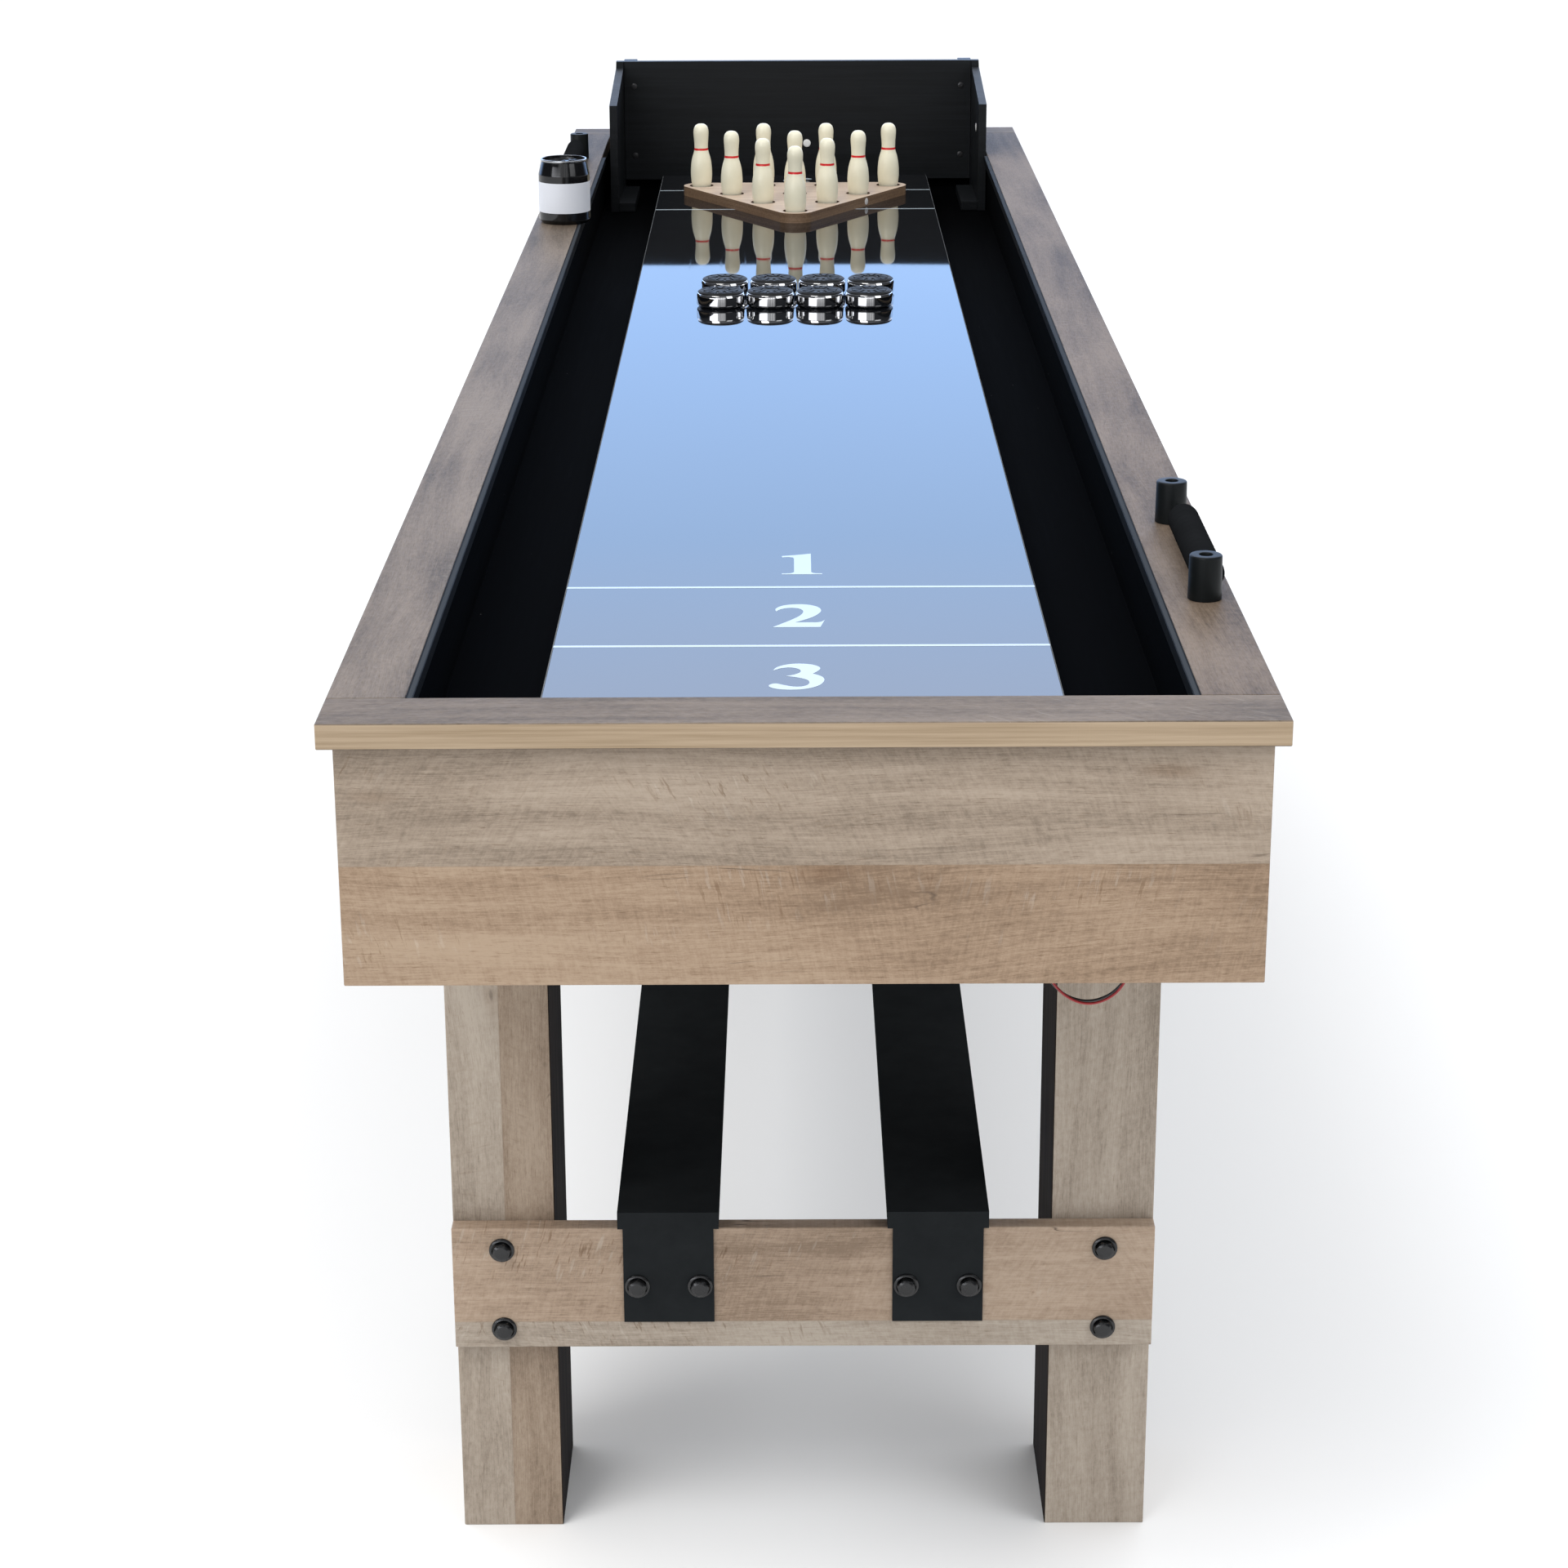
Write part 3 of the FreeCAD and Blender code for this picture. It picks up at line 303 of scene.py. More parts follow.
def banded(shade, surface, roughness, place):
    """The rails' edges are banded with a yellower strip of their own straight grain."""
    upward = shade.math("ABSOLUTE", shade.split(shade.facing)[2])
    lines = shade.noise(shade.stretch(shade.place, (6, 6, 420)), detail=3, rough=0.7)
    strip = shade.ramp(lines, (0.3, (0.27, 0.20, 0.127)), (0.7, (0.39, 0.302, 0.208)))
    return shade.mix(shade.between(upward, 0.35, 0.6, 1, 0), surface, strip), roughness


def shaded_inner_faces(shade, surface, roughness, place):
    """The legs' inner faces are given a painted shade: a dull dark brown."""
    inner = shade.math("LESS_THAN", shade.math("ABSOLUTE", place[0]), 0.1927)
    grain = shade.noise(shade.stretch(shade.place, (120, 120, 5)), detail=3)
    # painted shade: the legs' inner faces are coloured a nearly black brown
    painted_shade = shade.ramp(grain, (0.35, (0.010, 0.0065, 0.0048)), (0.65, (0.024, 0.0165, 0.0125)))
    return shade.mix(inner, surface, painted_shade), shade.math("MAXIMUM", roughness, inner)


def black_board(name, grain="Y", tone=(0.0014, 0.0015, 0.0018), rough=0.8, shine=0.01, dust=1.0):
    """Black boards with a faint grain along their length and a little dust."""
    shade = Shade(name)
    stretchings = {"X": (7, 260, 260), "Y": (260, 7, 260), "Z": (260, 260, 7)}
    fibre = shade.noise(shade.stretch(shade.place, stretchings[grain]), detail=4, rough=0.7)
    patch = shade.noise(shade.place, 7, detail=3)
    dark = tuple(0.75 * part for part in tone)
    light = tuple(1.5 * part for part in tone)
    surface = shade.mix(shade.between(fibre, 0.35, 0.72), dark, light)
    surface = shade.mix(shade.math("MULTIPLY", patch, 0.6), surface, tone)
    speck = shade.spots(shade.place, 46)
    sparse = shade.between(shade.noise(shade.place, 9, detail=1), 0.56, 0.62)
    grains = shade.math("MULTIPLY", shade.between(speck, 0.030, 0.018), shade.math("MULTIPLY", sparse, 0.5 * dust))
    surface = shade.mix(grains, surface, (0.30, 0.30, 0.29))
    roughness = shade.math("MULTIPLY_ADD", fibre, 0.2, rough - 0.1)
    return shade.set(Base_Color=surface, Roughness=roughness, Specular_IOR_Level=shine,
                     Normal=shade.bump(fibre, 0.0001, 0.3))


def plastic(name, tone, rough=0.4, grain=900, bump=0.00004, shine=0.5, coat=0.0, variation=0.25):
    """Moulded plastic or paint: a fine surface texture and slightly uneven gloss."""
    shade = Shade(name)
    fine = shade.noise(shade.place, grain, detail=2)
    broad = shade.noise(shade.place, 38, detail=4, rough=0.6)
    dark = tuple((1 - variation) * part for part in tone)
    light = tuple(min(1.0, (1 + variation) * part) for part in tone)
    surface = shade.mix(broad, dark, light)
    roughness = shade.math("MULTIPLY_ADD", broad, 0.24, rough - 0.12)
    return shade.set(Base_Color=surface, Roughness=roughness, Specular_IOR_Level=shine, Coat_Weight=coat,
                     Coat_Roughness=0.06, Normal=shade.bump(shade.math("ADD", fine, broad), bump, 0.7))


def metal(name, tone, rough=0.12, brushed=(400, 400, 400), scratch=0.12, metallic=1.0):
    """Metal with fine scratches that break up its polish."""
    shade = Shade(name)
    scratches = shade.noise(shade.stretch(shade.place, brushed), detail=4, rough=0.7)
    smears = shade.noise(shade.place, 45, detail=3)
    surface = shade.mix(shade.math("MULTIPLY", smears, 0.5), tone, tuple(0.8 * part for part in tone))
    roughness = shade.math("MULTIPLY_ADD", shade.between(scratches, 0.4, 0.8), scratch, rough)
    return shade.set(Base_Color=surface, Roughness=roughness, Metallic=metallic,
                     Normal=shade.bump(scratches, 0.00002, 0.35))


def gloss_playfield():
    """Black high-gloss laminate, faintly wavy, with a thin pale line along both long edges."""
    shade = Shade("gloss_playfield")
    place = shade.split(shade.place)
    haze = shade.noise(shade.place, 3.5, detail=4)
    surface = shade.mix(haze, (0.0022, 0.0026, 0.0034), (0.0052, 0.0060, 0.0078))
    edge = shade.math("GREATER_THAN", shade.math("ABSOLUTE", place[0]), 0.1771)
    surface = shade.mix(edge, surface, (0.34, 0.36, 0.38))
    scuffs = shade.noise(shade.stretch(shade.place, (160, 5, 100)), detail=4, rough=0.7)
    roughness = shade.math("MULTIPLY_ADD", shade.between(scuffs, 0.55, 0.8), 0.05, 0.028)
    swell = shade.noise(shade.stretch(shade.place, (7, 2.6, 7)), detail=1)
    peel = shade.noise(shade.place, 190, detail=1)
    height = shade.math("MULTIPLY_ADD", peel, 0.0025, swell)
    return shade.set(Base_Color=surface, Roughness=roughness, Specular_IOR_Level=0.5,
                     Normal=shade.bump(height, 0.0007, 0.4))


def raw_board(name="raw_board"):
    """Unfinished fibreboard and softwood underneath the table."""
    shade = Shade(name)
    chips = shade.noise(shade.place, 240, detail=5, rough=0.75)
    broad = shade.noise(shade.place, 9, detail=3)
    surface = shade.ramp(chips, (0.3, (0.20, 0.135, 0.085)), (0.7, (0.42, 0.31, 0.21)))
    surface = shade.mix(shade.math("MULTIPLY", broad, 0.4), surface, (0.30, 0.22, 0.15))
    return shade.set(Base_Color=surface, Roughness=shade.math("MULTIPLY_ADD", chips, 0.2, 0.62),
                     Specular_IOR_Level=0.3, Normal=shade.bump(chips, 0.0002, 0.5))


def rack_wood():
    """Pale beech veneer on top, brown fibreboard on the sawn edges and in the recesses, with a painted shade on the
    recess floors.
    """
    shade = Shade("rack_wood")
    place = shade.split(shade.place)
    upward = shade.split(shade.facing)[2]
    grain = shade.noise(shade.stretch(shade.place, (14, 190, 190)), detail=4, rough=0.6)
    flecks = shade.noise(shade.stretch(shade.place, (130, 900, 900)), detail=2)
    veneer = shade.ramp(grain, (0.35, (0.45, 0.335, 0.250)), (0.62, (0.59, 0.475, 0.370)))
    veneer = shade.mix(shade.between(flecks, 0.60, 0.72, 0, 0.35), veneer, (0.40, 0.27, 0.19))
    chips = shade.noise(shade.place, 420, detail=4, rough=0.7)
    layers = shade.noise(shade.stretch(shade.place, (8, 8, 900)), detail=2)
    core = shade.ramp(shade.math("MULTIPLY_ADD", layers, 0.5, shade.math("MULTIPLY", chips, 0.5)),
                      (0.35, (0.100, 0.058, 0.032)), (0.65, (0.235, 0.152, 0.092)))
    low = shade.math("LESS_THAN", place[2], 0.7585)
    side = shade.math("MAXIMUM", low, shade.between(upward, 0.3, 0.6, 1, 0))
    surface = shade.mix(side, veneer, core)
    # painted shade: the recess floors are darkened to a nearly black brown
    floor = shade.math("MULTIPLY", low, shade.between(upward, 0.4, 0.8))
    surface = shade.mix(floor, surface, (0.045, 0.030, 0.020))
    return shade.set(Base_Color=surface, Roughness=shade.math("MULTIPLY_ADD", grain, 0.2, 0.36),
                     Specular_IOR_Level=0.4, Normal=shade.bump(grain, 0.0001, 0.4))


def pin_ivory():
    """Ivory moulded plastic with one painted red ring, and a painted shade at its foot."""
    shade = Shade("pin_ivory")
    place = shade.split(shade.place)
    soft = shade.noise(shade.place, 60, detail=3)
    surface = shade.mix(soft, (0.74, 0.70, 0.52), (0.84, 0.81, 0.66))
    # painted shade: darker towards the foot, where the pin stands in the rack's recess
    painted_foot_shade = shade.between(place[2], 0.0, 0.012, 0.22, 0)
    surface = shade.mix(painted_foot_shade, surface, (0.45, 0.40, 0.30))
    wobble = shade.noise(shade.place, 170, detail=2)
    high = shade.math("MULTIPLY_ADD", shade.math("SUBTRACT", wobble, 0.5), 0.0005, place[2])
    off = shade.math("ABSOLUTE", shade.math("SUBTRACT", high, 0.0494))
    ring = shade.between(off, 0.00120, 0.00155, 1, 0)
    surface = shade.mix(ring, surface, (0.62, 0.006, 0.010))
    fine = shade.noise(shade.place, 700, detail=2)
    return shade.set(Base_Color=surface, Roughness=shade.math("MULTIPLY_ADD", soft, 0.16, 0.30),
                     Specular_IOR_Level=0.45, Coat_Weight=0.15, Coat_Roughness=0.15,
                     Normal=shade.bump(fine, 0.00003, 0.5))


def diffuser():
    """The unlit milky strip over the lights."""
    shade = Shade("light_diffuser")
    streak = shade.noise(shade.stretch(shade.place, (300, 5, 300)), detail=3)
    surface = shade.mix(streak, (0.030, 0.034, 0.039), (0.050, 0.056, 0.064))
    return shade.set(Base_Color=surface, Roughness=shade.math("MULTIPLY_ADD", streak, 0.15, 0.5),
                     Specular_IOR_Level=0.015, Normal=shade.bump(streak, 0.00005, 0.5))


def light_tape():
    """White flexible tape with a row of small yellow chips."""
    shade = Shade("light_tape")
    place = shade.split(shade.place)
    step = shade.math("FRACT", shade.math("MULTIPLY", place[1], 60))
    chip = shade.math("LESS_THAN", shade.math("ABSOLUTE", shade.math("SUBTRACT", step, 0.5)), 0.09)
    dirt = shade.noise(shade.place, 200, detail=2)
    surface = shade.mix(dirt, (0.62, 0.62, 0.60), (0.78, 0.78, 0.76))
    surface = shade.mix(chip, surface, (0.75, 0.60, 0.12))
    return shade.set(Base_Color=surface, Roughness=shade.math("MULTIPLY_ADD", dirt, 0.2, 0.4),
                     Normal=shade.bump(chip, 0.0003, 0.6))


def paint_white(name="print_white", tone=(0.42, 0.485, 0.53)):
    """Screen-printed white under the playfield's gloss; its blue-grey cast is a painted reflection of the sky."""
    shade = Shade(name)
    speckle = shade.noise(shade.place, 900, detail=3)
    patch = shade.noise(shade.place, 30, detail=3)
    low = tuple(0.93 * part for part in tone)
    surface = shade.mix(shade.math("MULTIPLY_ADD", patch, 0.6, shade.math("MULTIPLY", speckle, 0.4)), low, tone)
    return shade.set(Base_Color=surface, Roughness=shade.math("MULTIPLY_ADD", patch, 0.04, 0.03),
                     Normal=shade.bump(speckle, 0.000004, 0.2))


# ---- mesh building --------------------------------------------------------

def finish_mesh(name, mesh, material, body, sharp=32, stands_for=()):
    """Make the object, shade it smooth between sharp edges, and let it ride on its body."""
    mesh.polygons.foreach_set("use_smooth", [True] * len(mesh.polygons))
    mesh.set_sharp_from_angle(angle=math.radians(sharp))
    piece = bpy.data.objects.new(name, mesh)
    bpy.context.scene.collection.objects.link(piece)
    for given in (material if isinstance(material, list) else [material]):
        mesh.materials.append(given)
    piece["wanted_body"] = body
    if stands_for:
        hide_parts(*stands_for)
    return piece


def rounded(points, steps=6):
    """A profile of (radius, height) points. A third number rounds that corner to a fillet."""
    smooth = []
    for index, point in enumerate(points):
        here = Vector(point[:2])
        if len(point) < 3 or index in (0, len(points) - 1):
            smooth.append(tuple(here))
            continue
        before = (Vector(points[index - 1][:2]) - here).normalized()
        after = (Vector(points[index + 1][:2]) - here).normalized()
        half = before.angle(after) / 2
        setback = point[2] / math.tan(half)
        centre = here + (before + after).normalized() * (point[2] / math.sin(half))
        start, end = here + before * setback - centre, here + after * setback - centre
        sweep = start.angle_signed(end)
        for step in range(steps + 1):
            angle = -sweep * step / steps
            turned = Vector((start.x * math.cos(angle) - start.y * math.sin(angle),
                             start.x * math.sin(angle) + start.y * math.cos(angle)))
            smooth.append(tuple(centre + turned))
    return smooth


def flowing(points, steps=6):
    """A smooth curve through (radius, height) points."""
    smooth = []
    for index in range(len(points) - 1):
        p0, p1 = Vector(points[max(index - 1, 0)]), Vector(points[index])
        p2, p3 = Vector(points[index + 1]), Vector(points[min(index + 2, len(points) - 1)])
        for step in range(steps):
            t = step / steps
            smooth.append(tuple(0.5 * (2 * p1 + (p2 - p0) * t + (2 * p0 - 5 * p1 + 4 * p2 - p3) * t * t
                                       + (3 * p1 - p0 - 3 * p2 + p3) * t ** 3)))
    smooth.append(tuple(points[-1]))
    return smooth


def revolve(mesh, profile, segments=48, loop=False, shape=None, matrix=None, index=0):
    """Turn a profile of (radius, height) points in millimetres about Z into a bmesh."""
    matrix = matrix or Matrix.Identity(4)
    rings = []
    for radius, height in profile:
        if radius < 1e-6:
            rings.append([mesh.verts.new(matrix @ Vector((0, 0, height * MM)))])
            continue
        ring = []
        for count in range(segments):
            angle = TAU * count / segments
            reach = min(radius, shape(angle)) if shape else radius
            ring.append(mesh.verts.new(matrix @ Vector((reach * MM * math.cos(angle),
                                                        reach * MM * math.sin(angle), height * MM))))
        rings.append(ring)
    pairs = list(zip(rings, rings[1:])) + ([(rings[-1], rings[0])] if loop else [])
    for low, high in pairs:
        if len(low) == 1 and len(high) == 1:
            continue
        for count in range(segments):
            following = (count + 1) % segments
            corners = [low[count % len(low)], low[following % len(low)],
                       high[following % len(high)], high[count % len(high)]]
            distinct = list(dict.fromkeys(corners))
            mesh.faces.new(distinct).material_index = index


def to_mesh(name, built, turn=0.0):
    bmesh.ops.recalc_face_normals(built, faces=built.faces)
    mesh = bpy.data.meshes.new(name)
    built.to_mesh(mesh)
    built.free()
    mesh.transform(Matrix.Rotation(turn, 4, "Z"))
    return mesh


def solid(built, outline, low, high, matrix=None, index=0):
    """Raise a closed outline of (x, y) points, in millimetres, into a prism in a bmesh."""
    matrix = matrix or Matrix.Identity(4)
    layers = [[built.verts.new(matrix @ Vector((x * MM, y * MM, height * MM))) for x, y in outline]
              for height in (low, high)]
    faces = [built.faces.new(list(reversed(layers[0]))), built.faces.new(layers[1])]
    for count in range(len(outline)):
        following = (count + 1) % len(outline)
        faces.append(built.faces.new([layers[0][count], layers[0][following],
                                      layers[1][following], layers[1][count]]))
    for face in faces:
        face.material_index = index


def at(x, y, z, axis=(0, 0, 1), spin=0.0):
    """A matrix that puts local Z along an axis at a point, in millimetres."""
    turn = Vector((0, 0, 1)).rotation_difference(Vector(axis)).to_matrix().to_4x4()
    return Matrix.Translation(Vector((x, y, z)) * MM) @ turn @ Matrix.Rotation(spin, 4, "Z")


# ---- leads of the light strips --------------------------------------------

LEAD_ROUTES = {
    "red": (-1334.5, 278.5, [
        (112, 690), (122, 690), (133, 681), (141, 661), (147, 634), (156, 607), (167, 589),
        (184, 580.5), (201, 586), (211, 600), (219, 624), (225, 651), (229, 679), (229, 702)]),
    "black": (-1331.0, 275.2, [
        (112, 686), (121, 686), (131, 677), (139, 656), (146, 629), (155, 604), (168, 587),
        (186, 581), (203, 588), (213, 604), (221, 628), (228, 655), (234, 681), (234, 702)]),
}
LEAD_RADIUS = 0.9
LEAD_TONES = {"red": (0.27, 0.008, 0.010), "black": (0.012, 0.012, 0.013)}


def make_leads():
    for name, (along, length, route) in LEAD_ROUTES.items():
        curve = bpy.data.curves.new("lead_" + name, "CURVE")
        curve.dimensions = "3D"
        curve.bevel_depth = LEAD_RADIUS * MM
        curve.bevel_resolution = 5
        curve.resolution_u = 16
        curve.use_fill_caps = True
        spline = curve.splines.new("NURBS")
        spline.points.add(len(route) - 1)
        for point, (across, high) in zip(spline.points, route):
            point.co = (across * MM, along * MM, high * MM, 1)
        spline.order_u = 3
        spline.use_endpoint_u = True
        lead = bpy.data.objects.new("lead_" + name, curve)
        bpy.context.scene.collection.objects.link(lead)
        curve.materials.append(plastic("wire_" + name, LEAD_TONES[name], rough=0.38, grain=1500))
        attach(lead, "table")
        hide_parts("led_lead_" + name)


make_leads()


# ---- materials of the CAD nodes -------------------------------------------

def dress(material, *names):
    for name in names:
        mesh = NODES[name].data
        mesh.materials.clear()
        mesh.materials.append(material)


def dress_nodes():
    dress(woodgrain("rail_grain_left", "Y", "X", -0.28, shift=1.3, tones=[RAIL_GREY], saw=0.5, cracks=0.5,
                    extra=banded), "side_rail_left")
    dress(woodgrain("rail_grain_right", "Y", "X", 0.28, shift=5.9, tones=[RAIL_BROWN], saw=0.6, cracks=0.7,
                    extra=banded), "side_rail_right")
    dress(woodgrain("rail_grain_ends", "X", "Y", 0.0, shift=2.2, tones=[RAIL_GREY], saw=0.5, cracks=0.5, extra=banded),
          "end_rail_front", "end_rail_rear")
    apron_seam = 0.6895
    dress(woodgrain("apron_grain_ends", "X", "Z", apron_seam, (apron_seam,), 0.62, [TAN, GREIGE], saw=1.1),
          "end_apron_front", "end_apron_rear")
    dress(woodgrain("apron_grain_sides", "Y", "Z", apron_seam, (apron_seam,), 7.4, [TAN, GREIGE], saw=1.1),
          "side_apron_left", "side_apron_right")
    dress(woodgrain("leg_grain_left", "Z", "X", -0.23, (-0.2305,), 0.4, [PALE, BROWN], saw=0.35, cracks=0.5,
                    extra=shaded_inner_faces), "leg_front_left", "leg_rear_left")
    dress(woodgrain("leg_grain_right", "Z", "X", 0.23, (), 9.1, [PALE], saw=0.45, cracks=0.4, extra=shaded_inner_faces),
          "leg_front_right", "leg_rear_right")
    dress(woodgrain("crossbar_grain", "X", "Z", 0.218, (0.189,), 4.45, [PALE, PALE_TAN], saw=1.2),
          "crossbar_front", "crossbar_rear")
    dress(black_board("gutter_black"), "gutter_walls", "gutter_deck")
    dress(black_board("backboard_black", "X", (0.0056, 0.0067, 0.0080), rough=0.42, shine=0.2, dust=0.25),
          "backboard_panel", "backboard_cheek_left", "backboard_cheek_right")
    dress(gloss_playfield(), "playfield_board")
    dress(raw_board(), "playfield_battens", "cross_beams", "leg_blocks")
    dress(plastic("light_channel", (0.006, 0.0065, 0.007), 0.5, 600, shine=0.02), "led_channels")
    dress(light_tape(), "led_tapes")
    dress(diffuser(), "led_diffusers")
    dress(plastic("case_black", (0.014, 0.014, 0.015), 0.45, 1200, 0.00008), "battery_case", "battery_case_lid")
    dress(plastic("rocker_black", (0.010, 0.010, 0.011), 0.25, 1500), "rocker_switch")
    dress(plastic("black_steel", (0.0175, 0.0195, 0.0208), 0.50, 1100, 0.00006, 0.0), "stretcher_left",
          "stretcher_right")
    dress(metal("bright_rod", (0.78, 0.79, 0.80), 0.10, (500, 30, 500)), "scorer_rods")
    dress(rack_wood(), "pin_rack")


# ---- pieces that replace plainer CAD solids -------------------------------

def hexagon(corner_radius):
    """How far a hexagon of that corner radius reaches at each angle."""
    flat = corner_radius * math.cos(math.pi / 6)
    return lambda angle: flat / math.cos((angle % (TAU / 6)) - TAU / 12)


def add_bolt(built, shank, matrix):
    """A flanged hexagon bolt with a slightly domed head. Its flange's underside is at Z 0."""
    revolve(built, rounded([(0, -shank), (3.4, -shank), (4, -shank + 0.7), (4, 0), (9.75, 0), (9.75, 1.3, 0.5),
                            (8.2, 2.1)], 4) + [(7.9, 2.15)], 48, matrix=matrix)
    revolve(built, [(7.9, 2.0), (7.6, 2.3)] + rounded([(7.6, 2.3), (7.6, 4.6), (7.0, 6.0, 1.2), (4.8, 7.1, 2.5),
                                                        (0, 7.5)], 5), 72, shape=hexagon(7.5), matrix=matrix)


def add_nut(built, matrix):
    """A hexagon nut that runs 5.5 up from Z 0, with chamfered ends and a bore."""
    revolve(built, [(4.05, 0), (6.7, 0), (7.6, 0.6), (7.6, 4.9), (6.7, 5.5), (4.05, 5.5)], 72, True,
            hexagon(7.5), matrix)


def make_frame_bolts():
    built = bmesh.new()
    draws = random.Random(4)
    for end in (-1, 1):
        for side in (-1, 1):
            for high in CROSSBAR_BOLT_HEIGHTS:
                add_bolt(built, 32, at(CROSSBAR_BOLT_SIDE * side, 1025 * end, high, (0, end, 0), draws.uniform(0, 1)))
            for half in (-TAB_BOLT_HALF, TAB_BOLT_HALF):
                across = TAB_SIDE * side + half
                add_bolt(built, 24.5, at(across, 1027 * end, TAB_BOLT_HEIGHT, (0, end, 0), draws.uniform(0, 1)))
                add_nut(built, at(across, 1010 * end, TAB_BOLT_HEIGHT, (0, -end, 0), draws.uniform(0, 1)))
    for side in (-1, 1):
        for end in (-1, 1):
            for half in (-LEG_BOLT_HALF, LEG_BOLT_HALF):
                add_bolt(built, 98.5, at(LEG_BOLT_HEAD * side, LEG_MIDDLE * end + half, LEG_BOLT_HEIGHT,
                                         (-side, 0, 0), draws.uniform(0, 1)))
    finish_mesh("frame_bolts_detail", to_mesh("frame_bolts_detail", built),
                plastic("black_bolts", (0.0075, 0.0078, 0.0085), 0.26, 900, 0.00005, 0.35, coat=0.2), "table",
                stands_for=("frame_bolts",))


def make_scorers():
    posts, screws = bmesh.new(), bmesh.new()
    for side in (-1, 1):
        for along in POST_PLACES:
            post = rounded([(2.3, 0), (12.1, 0, 0.6), (11.6, 32, 1.3), (4.9, 32, 0.7), (4.5, 8), (2.3, 8)], 5)
            revolve(posts, post, 56, True, matrix=at(POST_SIDE * side, -along * side, RAIL_TOP))
            head = rounded([(0, -24), (1.6, -24), (2, -23), (2, 0), (4, 0), (4, 1.6, 0.4), (2.6, 2.7, 0.8)], 4)
            revolve(screws, head + [(1.5, 2.9), (1.0, 1.6), (0, 1.5)], 24,
                    matrix=at(POST_SIDE * side, -along * side, RAIL_TOP + 8))
    finish_mesh("scorer_posts_detail", to_mesh("scorer_posts_detail", posts),
                plastic("post_black", (0.0048, 0.0062, 0.0068), 0.42, 1300, 0.00006, 0.16), "table",
                stands_for=("scorer_posts",))
    finish_mesh("scorer_screws_detail", to_mesh("scorer_screws_detail", screws),
                metal("screw_steel", (0.42, 0.42, 0.43), 0.28), "table",
                stands_for=("scorer_screws",))
    bead_black = plastic("bead_black", (0.0105, 0.0112, 0.0124), 0.50, 1300, 0.00005, 0.0)
    for name, side in (("left", -1), ("right", 1)):
        built = bmesh.new()
        low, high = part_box("score_beads_" + name)
        first = low.y if side > 0 else high.y
        for count in range(BEAD_COUNT):
            bead = rounded([(2.6, 0), (9.6, 0), (10.7, 0.3, 0.4), (11.5, 1.6, 1.0), (11.7, 5.35, 8.0),
                            (11.5, 9.1, 1.0), (10.7, 10.4, 0.4), (9.6, 10.7), (2.6, 10.7)], 5)
            revolve(built, bead, 48, True, matrix=at((low.x + high.x) / 2 / MM, first / MM + BEAD_PITCH * count * side,
                                                     (low.z + high.z) / 2 / MM, (0, side, 0)))
        finish_mesh("beads_" + name, to_mesh("beads_" + name, built), bead_black, "beads_" + name,
                    stands_for=("score_beads_" + name,))


def make_pins():
    material = pin_ivory()
    profile = [(0, 0), (10.8, 0)] + flowing([
        (11.7, 0.5), (12.3, 2.6), (13.3, 9), (13.8, 17), (13.6, 25), (12.8, 33), (11.3, 40), (9.7, 45.2),
        (8.9, 49.6), (8.8, 54), (9.1, 60), (9.6, 66), (9.8, 70.5), (9.4, 74.6), (8.0, 78.3), (5.2, 80.9),
        (2.6, 81.65), (0, 81.8)], 5)
    for number in range(1, 11):
        name = "pin_%02d" % number
        low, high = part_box(name)
        built = bmesh.new()
        revolve(built, profile, 56)
        pin = finish_mesh(name + "_turned", to_mesh(name, built, number * 0.7), material, name, sharp=40,
                          stands_for=(name,))
        pin.location = ((low.x + high.x) / 2, (low.y + high.y) / 2, low.z)


def make_pucks():
    chrome = metal("puck_chrome", (0.83, 0.83, 0.84), 0.045, (300, 300, 900), 0.06)
    rim = plastic("puck_rim", (0.014, 0.0145, 0.0155), 0.40, 1400, 0.00003, 0.3)
    cap = plastic("puck_cap", (0.0090, 0.0094, 0.0100), 0.50, 1400, 0.00004, 0.25)
    weight = rounded([(0, 0.2), (23.0, 0.2), (26, 2.6, 2.6), (26, 12.0, 4.0), (25.1, 14.6, 0.8), (24.4, 15)], 6)
    bowl = rounded([(24.4, 15), (24.8, 15.5, 0.3), (24.6, 16.2, 0.4), (22.4, 17.6, 0.6), (20.6, 17.5, 0.3),
                    (20.0, 16.7, 0.3), (8.8, 16.7, 0.3), (8.2, 17.6, 0.4), (7.2, 17.7, 0.3), (6.4, 17.0, 0.4),
                    (0, 16.9)], 4)
    for number in range(1, 9):
        name = "puck_%d" % number
        low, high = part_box(name)
        built = bmesh.new()
        revolve(built, weight, 72, index=0)
        revolve(built, bowl[:11], 72, index=1)
        revolve(built, bowl[10:], 72, index=2)
        for count in range(12):
            angle = TAU * count / 12
            wedge = []
            for reach, spread in ((10, -0.10), (18.0, -0.19), (18.8, -0.12), (18.8, 0.12), (18.0, 0.19), (10, 0.10)):
                wedge.append((reach * math.cos(angle + spread), reach * math.sin(angle + spread)))
            solid(built, wedge, 16.5, 17.7, index=2)
        puck = finish_mesh(name + "_turned", to_mesh(name, built, number * 1.1), [chrome, rim, cap], name, sharp=30,
                           stands_for=(name,))
        puck.location = ((low.x + high.x) / 2, (low.y + high.y) / 2, low.z)


